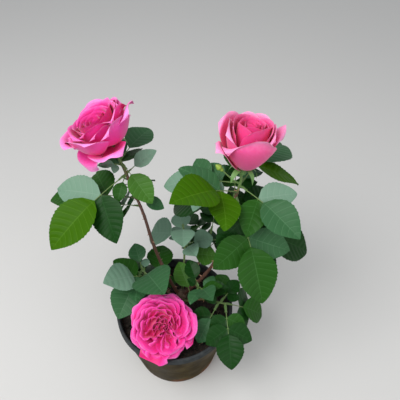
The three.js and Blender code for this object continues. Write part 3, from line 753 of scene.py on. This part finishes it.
def pot_material():
    """Grey plastic, stained by algae below the lip and rusty near the foot, with scuffs and dust."""
    n = Nodes("pot_plastic", 0.55, shine=0.08)
    height = n.math("DIVIDE", n.height(), POT["height"] * MM)
    cloud = n.noise(14, 6, 0.6)
    fine = n.noise(120, 5, 0.6)
    plastic = n.ramp(fine, (0.3, (0.025, 0.029, 0.031)), (0.7, (0.052, 0.058, 0.060)))
    algae = n.ramp(n.noise(35, 6, 0.65), (0.3, (0.016, 0.010, 0.002)), (0.55, (0.044, 0.029, 0.006)),
                   (0.8, (0.085, 0.062, 0.016)))
    run = n.noise(40, 4, 0.6, stretch=(1, 1, 0.15))
    reach = n.math("ADD", n.math("MULTIPLY", run, 0.8), n.math("MULTIPLY", cloud, 0.6))
    below = n.ramp(height, (0.0, 0.75), (0.84, 0.55), (0.9, 0))
    mask = n.ramp(n.math("MULTIPLY", reach, below), (0.10, 0), (0.32, 1))
    low = n.ramp(height, (0.05, 1), (0.45, 0))
    rust = n.ramp(n.math("MULTIPLY", n.noise(22, 5, 0.6), low), (0.42, 0), (0.56, 0.8))
    dust = n.ramp(n.noise(60, 6, 0.7), (0.55, 0), (0.8, 0.45))
    body = n.blend(rust, n.blend(mask, plastic, algae), (0.16, 0.055, 0.02))
    n.color(n.blend(dust, body, (0.06, 0.05, 0.037)))
    n.rough(n.ramp(cloud, (0.3, 0.45), (0.7, 0.8)))
    n.bump(fine, 0.25, 0.5)
    return n.material


def soil_material():
    """Moist, crumbly earth with lighter grains."""
    n = Nodes("soil_earth", 0.95)
    crumbs = n.noise(170, 8, 0.7)
    earth = n.ramp(crumbs, (0.3, (0.005, 0.004, 0.003)), (0.5, (0.018, 0.012, 0.008)),
                   (0.72, (0.055, 0.036, 0.022)))
    grains = n.ramp(n.noise(420, 3, 0.5), (0.66, 0), (0.74, 0.7))
    n.color(n.blend(grains, earth, (0.11, 0.078, 0.05)))
    n.bump(crumbs, 1.0, 2.0)
    return n.material


# The pot. It stands on a ring round its hollow underside.
POT_TRIM = {"hollow": 3, "ring": 10, "bevel": 2, "edge": 1.4, "inner_floor": 100, "sides": 160,
            "out_of_round": 0.0015}


def rounded(points, radius, steps=4):
    """A profile whose inner corners are rounded."""
    found = [points[0]]
    for before, corner, after in zip(points, points[1:], points[2:]):
        a, b, c = (np.array(p, float) for p in (before, corner, after))
        r = min(radius, 0.45 * np.linalg.norm(a - b), 0.45 * np.linalg.norm(c - b))
        start, end = b + unit(a - b) * r, b + unit(c - b) * r
        for k in range(steps + 1):
            t = k / steps
            found.append(tuple((1 - t) ** 2 * start + 2 * t * (1 - t) * b + t ** 2 * end))
    return found + [points[-1]]


def pot_profile():
    """From the middle of the underside out, up the wall, over the lip and down to the inner floor."""
    top, under, rim = POT["height"], POT["height"] - POT["lip"], POT["rim"]
    hollow, stand, floor = POT_TRIM["hollow"], POT["base"] - POT_TRIM["ring"], POT_TRIM["inner_floor"]
    throat = inner_wall_at(under)
    return [(0, hollow), (stand - POT_TRIM["bevel"], hollow), (stand, 0), (POT["base"], 0),
            (wall_at(under) - 0.2, under), (rim - 0.6, under), (rim, under + 2), (rim - 0.2, top - 1.2),
            (rim - 1.5, top), (throat + 2, top), (throat + 0.6, top - 2), (throat, under),
            (inner_wall_at(floor), floor), (0, floor)]


def make_pot():
    """The pot turned from its profile, a little out of round."""
    angles = round_angles(POT_TRIM["sides"])
    radii, heights = np.array(rounded(pot_profile(), POT_TRIM["edge"]), float).T[..., None]
    lobes = np.sin(3 * angles + 1) + 0.5 * np.sin(7 * angles)
    reach = radii * (1 + POT_TRIM["out_of_round"] * lobes)
    rings = level_rings(reach, heights)
    shape = Shape()
    add_rings(shape, rings[1:-1], rings[0, 0], rings[-1, 0], 0)
    piece = shape.build("pot_shell", [pot_material()])
    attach(piece, "root")
    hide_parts("pot")


# The soil: its grid, the waves of its surface by length, and the clods and straws on it.
EARTH = {"rings": 44, "sides": 120, "gap": 0.3, "depth": 8, "waves": (34, 17, 9, 5, 3.2), "wave": 0.028,
         "grit": 0.25}
CLODS = {"count": 190, "spread": 0.97, "rise": 2.2, "sizes": (1.2, 4.2), "rings": 6, "sides": 8}
STRAWS = {"count": 46, "spread": 0.9, "rise": 4.2, "lengths": (5, 16), "radii": (0.35, 0.8), "arch": 1.5}
LONG_STRAW = {"foot": (76, -22, 128), "tip": (98, -34, 133), "radius": 1.3, "arch": 2}
EARTH_FACE, STRAW_FACE = range(2)


def make_soil(rng):
    """A rough disc of earth, with clods and bits of dry stem on it."""
    shape = Shape()
    edge = inner_wall_at(SOIL["level"]) - EARTH["gap"]
    add_earth(shape, edge, rng)
    for _ in range(CLODS["count"]):
        at = spot_on_soil(edge, CLODS, rng)
        add_clod(shape, at, rng.uniform(*CLODS["sizes"]), rng)
    for _ in range(STRAWS["count"]):
        start = spot_on_soil(edge, STRAWS, rng)
        way = heading(rng.uniform(0, 360), rng.uniform(-4, 8)) * rng.uniform(*STRAWS["lengths"])
        if math.hypot(*(start + way)[:2]) < edge - 2:
            cone(shape, start, start + way, rng.uniform(*STRAWS["radii"]), STRAW_FACE,
                 bend=(0, 0, rng.uniform(0, STRAWS["arch"])))
    cone(shape, LONG_STRAW["foot"], LONG_STRAW["tip"], LONG_STRAW["radius"], STRAW_FACE, sides=7,
         bend=(0, 0, LONG_STRAW["arch"]), steps=6)
    straw = plain("soil_straw", (0.36, 0.24, 0.14), 0.8)
    piece = shape.build("soil_top", [soil_material(), straw])
    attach(piece, "root")
    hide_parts("soil")


def add_earth(shape, edge, rng):
    """The soil's wavy, gritty surface, and the side and the underside that close it."""
    s = np.repeat(np.linspace(0, 1, EARTH["rings"])[:, None], EARTH["sides"], axis=1)
    rings = level_rings(s * edge, SOIL["level"] + SOIL["dome"] * (1 - s ** 2))
    x, y, height = np.moveaxis(rings, -1, 0)
    for size in EARTH["waves"]:
        for _ in range(3):
            turn, phase = rng.uniform(0, TAU, 2)
            across = x * math.cos(turn) + y * math.sin(turn)
            height += EARTH["wave"] * size * np.sin(TAU / size * across + phase)
    height += rng.normal(0, EARTH["grit"], x.shape)
    foot = vec(0, 0, SOIL["level"] - EARTH["depth"])
    skirt = foot + vec(0.98, 0.98, 0) * rings[-1]
    add_rings(shape, np.vstack([rings[1:], skirt[None]]), rings[0, 0], foot, EARTH_FACE, over=True)


def spot_on_soil(edge, things, rng):
    """A random place on the soil's disc, as far out and as high as such things lie."""
    r = edge * things["spread"] * math.sqrt(rng.uniform(0, 1))
    a = rng.uniform(0, TAU)
    return vec(r * math.cos(a), r * math.sin(a), SOIL["level"] + things["rise"])


def add_clod(shape, at, size, rng):
    """A lump of earth: a squashed ball with a bumpy surface."""
    t = np.linspace(0, math.pi, CLODS["rings"] + 1)[:, None]
    a = round_angles(CLODS["sides"]) + rng.uniform(0, TAU)
    reach = size * (1 + rng.normal(0, 0.13, (CLODS["rings"] + 1, CLODS["sides"])))
    ball = np.stack([np.sin(t) * np.cos(a), np.sin(t) * np.sin(a), 0.7 * np.cos(t) + 0 * a], -1)
    points = at + reach[..., None] * ball
    add_rings(shape, points[-2:0:-1], points[-1, 0], points[0, 0], EARTH_FACE)


# The trunk, in shares of its height and of its named radii.
def make_trunk():
    """The stump: a flared foot, a waist and a knobbly swollen top, with furrowed bark."""
    shares = np.linspace(0, 1, 26)[:, None]
    foot, waist, top = TRUNK["foot"], TRUNK["waist"], TRUNK["top"]
    radii = np.interp(shares, [0, 0.12, 0.4, 0.7, 0.92, 1],
                      [foot, foot * 0.84, waist, top, top * 0.86, top * 0.5])
    angles = round_angles(40)
    lobes = 0.07 * np.cos(3 * angles + 1) * (1 - 0.5 * shares)
    furrows = 0.03 * np.sin(11 * angles + 4 * shares) + 0.02 * np.sin(23 * angles - 9 * shares)
    reach = radii * (1 + lobes + furrows)
    (x, y), (dx, dy) = TRUNK["at"], TRUNK["lean"]
    heights = SOIL["level"] + SOIL["dome"] - 2 + (TRUNK["height"] + 2) * shares
    rings = level_rings(reach, heights, at=(x + dx * shares, y + dy * shares))
    shape = Shape()
    add_rings(shape, rings, rings[0].mean(0), rings[-1].mean(0) + vec(0, 0, 1.5), 0)
    piece = shape.build("trunk_bark", [bark_material()])
    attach(piece, "root")
    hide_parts("trunk")


# Limbs with all that grows on them. Knots are small swellings at the leaves and along the cane.
LIMB = {"step": 2.2, "sides": 12, "knot": 0.3, "knot_reach": 2.6, "knot_gap": 26, "rough": 0.025}
THORN = {"gap": 13, "lengths": (2.6, 4.6), "hook": 0.35}
STALK = {"foot": 0.9, "tip": 0.62, "flare": 0.8, "flare_length": 4, "prickle_gap": 14}
STIPULE = {"length": 13, "width": 1.8, "gap": 0.5, "thick": 0.45, "point": (2.4, 2.2)}
SKIN_FACE, THORN_FACE, STIPULE_FACE, BUD_FACE = range(4)


def make_limb(name, shoot, leaves, rng, material):
    """One limb from the stump to its tip: knots, thorns, leaf stalks with stipules."""
    shape = Shape()
    line = Line(shoot["path"])
    length = np.linalg.norm(np.diff(line.at(np.linspace(0, 1, 60)), axis=0), axis=1).sum()
    shares = np.linspace(0, 1, max(int(length / LIMB["step"]), 24))
    radii = limb_radius(shoot, shares)
    knots = [0.5 + leaf["share"] / 2 for leaf in leaves]
    for knot in [*knots, *np.arange(0.12, 0.5, LIMB["knot_gap"] / length)]:
        radii = radii + LIMB["knot"] * np.exp(-((shares - knot) * length / LIMB["knot_reach"]) ** 2)
    tones = np.clip(0.95 - shoot["red"] * 3.2 * (1 - shares), 0, 1)
    swell = 1 + rng.normal(0, LIMB["rough"], (len(shares), LIMB["sides"]))
    centres = line.at(shares)
    if name in BLOOMS:
        neck = bloom_neck(line, BLOOMS[name])
        centres = np.vstack([centres, neck])
        radii = np.append(radii, np.linspace(radii[-1], HIP["stalk"] * 1.15, len(neck)))
        tones = np.append(tones, np.full(len(neck), tones[-1]))
        swell = np.vstack([swell, np.ones((len(neck), LIMB["sides"]))])
    tube(shape, centres, radii, LIMB["sides"], SKIN_FACE, tones, swell)
    add_thorns(shape, line, shoot, length, rng)
    for leaf in leaves:
        leaf_stalk(shape, leaf, rng)
    if "bud" in shoot:
        closed_bud(shape, line, *shoot["bud"])
    piece = shape.build("stems_" + name, [material, plain("thorn_" + name, (0.34, 0.17, 0.10), 0.45),
                                          plain("stipule_" + name, (0.09, 0.19, 0.045), 0.55),
                                          plain("bud_" + name, (0.26, 0.40, 0.05), 0.5)], "tone")
    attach(piece, "root")
    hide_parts("cane_" + name)


def bloom_neck(line, bloom):
    """Centres that lead on from the limb's tip into the bloom's hip."""
    tip, way = line.at(1)[0], line.way(1)[0]
    hip, axis = vec(*bloom["stalk"]), unit(vec(*bloom["axis"]))
    return Line([tip, tip + way * 3, hip - axis * 3, hip + axis * 2]).at(np.linspace(0.08, 1, 12))


def add_thorns(shape, line, shoot, length, rng):
    """Hooked prickles, broad at the foot, set at random round the limb."""
    count = int(length / THORN["gap"])
    for k in range(count):
        share = 0.06 + 0.88 * (k + rng.uniform(-0.3, 0.3)) / count
        at, way = line.at(share)[0], line.way(share)[0]
        radius = float(limb_radius(shoot, share))
        side = unit(np.cross(way, heading(rng.uniform(0, 360), 20)))
        reach = rng.uniform(*THORN["lengths"]) * (0.75 + radius / 10)
        tip = at + side * (radius + reach) - way * reach * THORN["hook"]
        cone(shape, at + side * radius * 0.6, tip, radius * 0.5, THORN_FACE, sides=6,
             bend=way * THORN["hook"], steps=4)


def leaf_stalk(shape, leaf, rng):
    """The leaf's stalk on one smooth line, its two stipules and a few hooked prickles beneath."""
    path = Line(leaf["stalk"])
    shares = np.linspace(0, 1, 16)
    length = np.linalg.norm(leaf["stalk"][-1] - leaf["stalk"][0])
    flare = STALK["flare"] * np.exp(-shares * length / STALK["flare_length"])
    radii = flare + mix(STALK["foot"], STALK["tip"], shares)
    tube(shape, path.at(shares), radii, 7, SKIN_FACE, 0.8 + 0.1 * rng.uniform(-1, 1))
    across = heading(leaf["compass"] - 90, 0)
    for side in (-1, 1):
        stipule(shape, path, across * side, min(0.5, STIPULE["length"] / length), over=side < 0)
    prickles = int(length / STALK["prickle_gap"])
    for k in range(prickles):
        share = 0.35 + 0.6 * k / prickles
        at = path.at(share)[0]
        tip = at - vec(0, 0, 2.4) - path.way(share)[0] * 0.6
        cone(shape, at - vec(0, 0, 0.5), tip, 0.5, THORN_FACE, sides=4, steps=2)
    for blade in leaf["blades"][1:]:
        foot, way = blade["base"], blade["along"]
        cone(shape, foot - way * 0.3, foot + way * 3, 0.8, SKIN_FACE, 0.9, sides=6)


def stipule(shape, path, across, share, over):
    """A narrow wing along the foot of the leaf stalk that ends in a free point."""
    s = np.linspace(0, 1, 9)
    inner = path.at(s * share)
    wide = STIPULE["width"] * np.sin(math.pi * np.clip(s * 0.82 + 0.12, 0, 1))[:, None] ** 0.7
    out = inner + across * (STIPULE["gap"] + wide) + vec(0, 0, 0.6) * wide
    aside, ahead = STIPULE["point"]
    out[-1] = inner[-1] + across * aside + path.way(share)[0] * ahead
    middle = (inner + out) / 2 + vec(0, 0, 0.3)
    thick = vec(0, 0, STIPULE["thick"])
    rings = np.stack([inner, middle, out, middle - thick, inner - thick], 1)
    add_rings(shape, rings, rings[0].mean(0), rings[-1].mean(0), STIPULE_FACE, over=over)


def closed_bud(shape, line, share, tip):
    """The closed bud on its own twig: a green hip and five sepals folded to a point."""
    start, tip = line.at(0.5 + share / 2)[0], vec(*tip)
    twig = Line([start, mix(start, tip, 0.5) + vec(0, 0, -1.5), tip])
    tube(shape, twig.at(np.linspace(0, 1, 12)), 1.1, 8, SKIN_FACE, 0.95)
    s = np.linspace(0, 1, 16)
    radii = np.interp(s, [0, 0.12, 0.25, 0.32, 0.55, 0.8, 1], [1.2, 2.6, 2.9, 2.6, 4.4, 2.7, 0.4])
    folds = 0.1 * np.abs(np.cos(2.5 * round_angles(14))) * (s > 0.3)[:, None]
    tube(shape, tip + unit(tip - start) * (s * 15 - 2)[:, None], radii, 14, BUD_FACE, swell=1 + folds)


def make_leaves(name, leaves, rng, materials):
    shape = Shape()
    for leaf in leaves:
        for blade, tint in zip(leaf["blades"], leaf["tints"]):
            leaflet(shape, blade, tint, rng)
    piece = shape.build("leaves_" + name, materials)
    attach(piece, "root")
    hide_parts("shoot_" + name)


# Blooms in full.
def petal_half(u, taper):
    """Half a petal's width along it: opening to its widest, then tapering to the rim."""
    widest = 0.62
    low = 0.3 + 0.7 * np.sin(math.pi / 2 * np.minimum(u / widest, 1))
    return low * (1 - taper * (np.maximum(u - widest, 0) / (1 - widest)) ** 2)


def petal_grid(bloom, petal):
    """Points of a petal in the bloom's own frame, by the solids' rule, with a rolled and wavy rim."""
    rows, columns = PETAL["rows"], PETAL["columns"]
    u, v = np.meshgrid(np.linspace(0, 1, rows), np.linspace(-1, 1, columns), indexing="ij")
    crown = petal["crown"] * v * v + 0.05 * v ** 8
    cusp = petal["cusp"] * u ** 6 * np.exp(-(v / 0.14) ** 2)
    share = (u * (1 - crown) + cusp).ravel()
    line = Line([(PETAL["attach"], HIP["height"] - 1), *petal["stations"]])
    at = line.at(share).reshape(rows, columns, 2)
    way = line.way(np.minimum(share, 0.999)).reshape(rows, columns, 2)
    bend = at[..., 0] * 1.15 + 4
    angle = v * petal_half(u, petal["taper"]) * petal["width"] * 0.5 / bend
    hang = bloom["curl"] * v * v * u ** 3 + bloom["twist"] * v
    ruffle = bloom["ruffle"] * np.sin(5 * v + petal["phase"]) * u * u
    wave = petal["wave"] * np.sin(6.5 * v + 1.7 * petal["phase"]) * u ** 3
    crease = petal["crease"] * np.exp(-(v / 0.2) ** 2) * u ** 2 * (1 - u) * 4
    late = np.maximum(u - 0.78, 0) / 0.22
    roll = petal["roll"] * late ** 2
    inward = bend * (1 - np.cos(angle)) - petal["loose"] * hang + ruffle + wave - crease - roll
    drop = 0.45 * petal["roll"] * late ** 2.5
    up = at[..., 1] + inward * way[..., 0] - drop + petal["slope"] * v * u * u
    middle = petal["stations"][1][0]
    out = at[..., 0] - inward * way[..., 1]
    out, aside = turn_about(out - middle, bend * np.sin(angle), petal["spin"])
    out, aside = turn_about(out + middle, aside, petal["compass"])
    return np.stack([out, aside, up], -1), u, v


def map_place(cell, u, v):
    """Places on the petals' map for one side of a petal."""
    margin, cells = MAP["margin"], MAP["cells"]
    room = 1 - 2 * margin
    spots = np.stack([cell % cells + margin + room * (v + 1) / 2, cell // cells + margin + room * u], -1)
    return spots.reshape(-1, 2) / cells


def petal_shell(shape, bloom, petal, place):
    """A petal as a thin closed shell, whose inner and outer sides have their own tones."""
    points, u, v = petal_grid(bloom, petal)
    along, across = np.gradient(points, axis=(0, 1))
    normal = unit(np.cross(across, along) + 1e-9)
    thick = PETAL["thick"] * (1 - 0.4 * u) * (np.abs(v) < 1) * (u < 1)
    half = normal * (thick / 2)[..., None]
    # Deep at the foot and pale at the rim: partly the petal's own colour, partly painted shade and
    # painted highlight.
    deep, pale = petal["tone"]
    inside = mix(deep, pale, np.clip(u ** 2.5 + 0.3 * np.abs(v) ** 5 * u, 0, 1))
    outside = mix(deep + 0.12, pale - 0.08, np.clip(u ** 4 + 0.25 * np.abs(v) ** 6, 0, 1))
    cell = petal["number"] % (MAP["cells"] ** 2 // 2)
    maps = np.vstack([map_place(cell, u, v), map_place(cell + MAP["cells"] ** 2 // 2, u, v)])
    add_shell(shape, in_plant(points - half, place), in_plant(points + half, place), 0, over=True,
              tones=np.stack([inside, outside]), maps=maps)


def petals_of(bloom, rng):
    """All petals, from the solids' guards and rings in to the spiral heart."""
    petals = []

    def grow(compass, width, stations, **looks):
        number = len(petals)
        petals.append({**PETAL_LOOK, "compass": compass, "width": width, "stations": stations,
                       "number": number, "phase": 2.4 * number, **looks})

    heart, rule = HEARTS[bloom["heart"]], bloom["spiral"]
    for count, first, width, *stations in bloom["rings"]:
        for i in range(count):
            grow(first + 360 / count * i, width, stations, wave=heart["ring_wave"], tone=(0.3, 0.8),
                 cusp=0.02)
    for compass, width, belly, rim, tip, *slope in bloom["guards"]:
        grow(compass, width, (belly, rim, tip), tone=(0.42, 1.0), roll=PETAL["roll"] * 1.3, cusp=0.03,
             slope=sum(slope))
    for compass, width, *stations in bloom["inner"]:
        grow(compass, width, stations, tone=(0.25, 0.95), wave=1.2)
    for i in range(rule["count"]):
        f = i / (rule["count"] - 1)
        measures = (mix(*rule[key], f ** 0.9) for key in ("radius", "width", "height", "lean"))
        radius, width, height, lean = measures
        shake = rng.normal(0, 1, 4)
        height += heart["shake"] * shake[0]
        stations = [(radius * 0.8, mix(HIP["height"], height, 0.35)), (radius, height * 0.78),
                    (radius * lean, height)]
        # Petals nearer the heart get deeper tones: partly their own crimson, partly painted shade of the
        # heart.
        grow(rule["first"] + GOLDEN * i + 8 * shake[1], width * (1 + 0.08 * shake[2]), stations,
             loose=heart["loose"], wave=heart["wave"] * width, crease=0.3,
             roll=heart["roll"] * (1 - 0.6 * f), tone=(mix(0.28, 0.05, f), mix(0.8, 0.5, f)), cusp=0.01,
             crown=0.1, taper=0.2)
        if bloom["heart"] == "ruffled":
            stand_on_edge(petals[-1], f, (-1) ** i * (72 + 10 * shake[3]))
    return petals


def stand_on_edge(petal, f, spin):
    """Turns a petal on the near side edge on to the view, and stills its waves by how near it is."""
    near = max(0, -math.sin(math.radians(petal["compass"])))
    petal["wave"] *= 0.4 + 0.6 * near
    if near > 0.25:
        petal.update(spin=spin, width=mix(38, 20, f))


def bloom_place(bloom):
    """The bloom's own frame in the plant: its axes as columns, and its origin at the stalk's end."""
    axis = unit(vec(*bloom["axis"]))
    side = unit(vec(1, 0, 0) - axis[0] * axis)
    return {"turn": np.stack([side, np.cross(axis, side), axis], 1), "at": vec(*bloom["stalk"])}


def in_plant(points, place):
    return points @ place["turn"].T + place["at"]


def heart_core(shape, bloom, place):
    """The ruffled heart's body, which closes the gaps between the feet of the small petals."""
    s = np.linspace(0, 1, 12)
    heights = mix(HIP["height"], 0.74 * bloom["spiral"]["height"][1], s)
    radii = 0.6 * bloom["spiral"]["radius"][0] * np.sqrt(np.maximum(1 - s ** 3, 0.004))
    # Its deep tone, 0.12, stands in for the shade in the gaps between the petals' feet: painted shade.
    tube(shape, place["at"] + heights[:, None] * place["turn"][:, 2], radii, 32, 0, 0.12)


def make_bloom(name, bloom, rng, materials):
    """The petals of a bloom, with their map, and then its calyx."""
    shape = Shape()
    place = bloom_place(bloom)
    for petal in petals_of(bloom, rng):
        petal_shell(shape, bloom, petal, place)
    if bloom["heart"] == "ruffled":
        heart_core(shape, bloom, place)
    piece = shape.build("petals_" + name, [materials[bloom["slot"]]], "tone", "OFBake")
    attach(piece, "root")
    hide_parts("bloom_" + name)
    make_calyx(name, place, rng)


def make_calyx(name, place, rng):
    """The hip under the petals and five sepals bent back from it."""
    shape = Shape()
    s = np.linspace(0, 1, 14)
    radii = np.interp(s, [0, 0.2, 0.55, 0.8, 1],
                      [HIP["stalk"], *(HIP["radius"] * share for share in (0.8, 1, 0.86, 0.9))])
    heights = s * (HIP["height"] + 1) - 1
    tube(shape, place["at"] + place["turn"][:, 2] * heights[:, None], radii, 18, 0)
    for k in range(5):
        sepal(shape, place, 72 * k + 15 + rng.uniform(-8, 8), rng)
    piece = shape.build("calyx_" + name, [plain("sepal_" + name, (0.13, 0.27, 0.07), 0.55)])
    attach(piece, "root")


def sepal(shape, place, compass, rng):
    """A narrow pointed sepal that leaves the hip's top and turns down."""
    u, v = np.meshgrid(np.linspace(0, 1, 12), np.linspace(-1, 1, 5), indexing="ij")
    bend = rng.uniform(0.85, 1.15)
    radius, height = HIP["radius"], HIP["height"]
    line = Line([(radius * 0.8, height), (radius + 7, height + 0.5), (radius + 15 * bend, height - 6),
                 (radius + 17 * bend, height - 16)])
    at = line.at(u.ravel()).reshape(*u.shape, 2)
    half = 4.2 * np.sin(math.pi * np.clip(0.16 + 0.84 * u, 0, 1)) ** 0.9
    out, aside = turn_about(at[..., 0], v * half, compass)
    upper = np.stack([out, aside, at[..., 1] + 0.9 * v * v * (1 - u)], -1)
    thick = 0.5 * (np.abs(v) < 1) * (u < 1)
    under = upper - thick[..., None] * vec(0, 0, 1)
    add_shell(shape, in_plant(upper, place), in_plant(under, place), 0, pinched=[-1], over=True)


# Stage.
FLOOR = {"reach": 3.0, "color": (0.62, 0.61, 0.59)}
SKY = {"color": (0.93, 0.96, 1.0, 1), "strength": 0.55}
# Name, place, aim and size of each lamp, in metres, and its power in watts.
LAMPS = [("key", (-0.7, -0.5, 1.7), (0, 0.05, 0.3), 1.1, 26),
         ("fill", (1.1, -1.0, 0.9), (0, 0, 0.25), 1.2, 6)]


def make_stage():
    """A pale floor, soft light from all round, a strong lamp above the left shoulder and a weak one."""
    floor = bpy.data.meshes.new("floor")
    r = FLOOR["reach"]
    floor.from_pydata([(-r, -r, 0), (r, -r, 0), (r, r, 0), (-r, r, 0)], [], [(0, 1, 2, 3)])
    floor.materials.append(plain("floor_pale", FLOOR["color"], 0.9))
    plane = bpy.data.objects.new("floor", floor)
    bpy.context.scene.collection.objects.link(plane)
    world = bpy.data.worlds.new("soft_sky")
    world.use_nodes = True
    background = world.node_tree.nodes["Background"]
    background.inputs["Color"].default_value = SKY["color"]
    background.inputs["Strength"].default_value = SKY["strength"]
    bpy.context.scene.world = world
    for name, place, aim, size, power in LAMPS:
        lamp = bpy.data.lights.new(name, "AREA")
        lamp.size, lamp.energy = size, power
        light = bpy.data.objects.new(name, lamp)
        x, y, z = vec(*place) - vec(*aim)
        light.location = place
        light.rotation_euler = (math.atan2(math.hypot(x, y), z), 0, math.atan2(x, -y))
        bpy.context.scene.collection.objects.link(light)


def make_camera():
    lens = bpy.data.cameras.new("camera")
    lens.sensor_width = CAMERA["sensor"]
    lens.lens = CAMERA["sensor"] * CAMERA["focal_px"] / CAMERA["frame_px"]
    lens.clip_start = 0.01
    camera = bpy.data.objects.new("camera", lens)
    camera.location = [x * MM for x in CAMERA["place"]]
    camera.rotation_euler = (math.radians(90 - CAMERA["pitch"]), 0, 0)
    bpy.context.scene.collection.objects.link(camera)
    bpy.context.scene.camera = camera


# The whole object. All random draws come from one row, so the order of the calls is part of the looks.
rng = np.random.default_rng(SEED)
make_camera()
make_stage()
make_pot()
make_soil(rng)
make_trunk()
skin, leaf_set = stem_material(), leaf_materials()
all_leaves = grow_leaves()
for name, shoot in SHOOTS.items():
    own = [leaf for leaf in all_leaves if leaf["shoot"] == name]
    make_limb(name, shoot, own, rng, skin)
    make_leaves(name, own, rng, leaf_set)
petal_set = {slot: petal_material(slot, stops) for slot, stops in PETAL_RAMPS.items()}
for name, bloom in BLOOMS.items():
    make_bloom(name, bloom, rng, petal_set)

bpy.context.scene.view_settings.view_transform = "Standard"
bpy.context.view_layer.update()
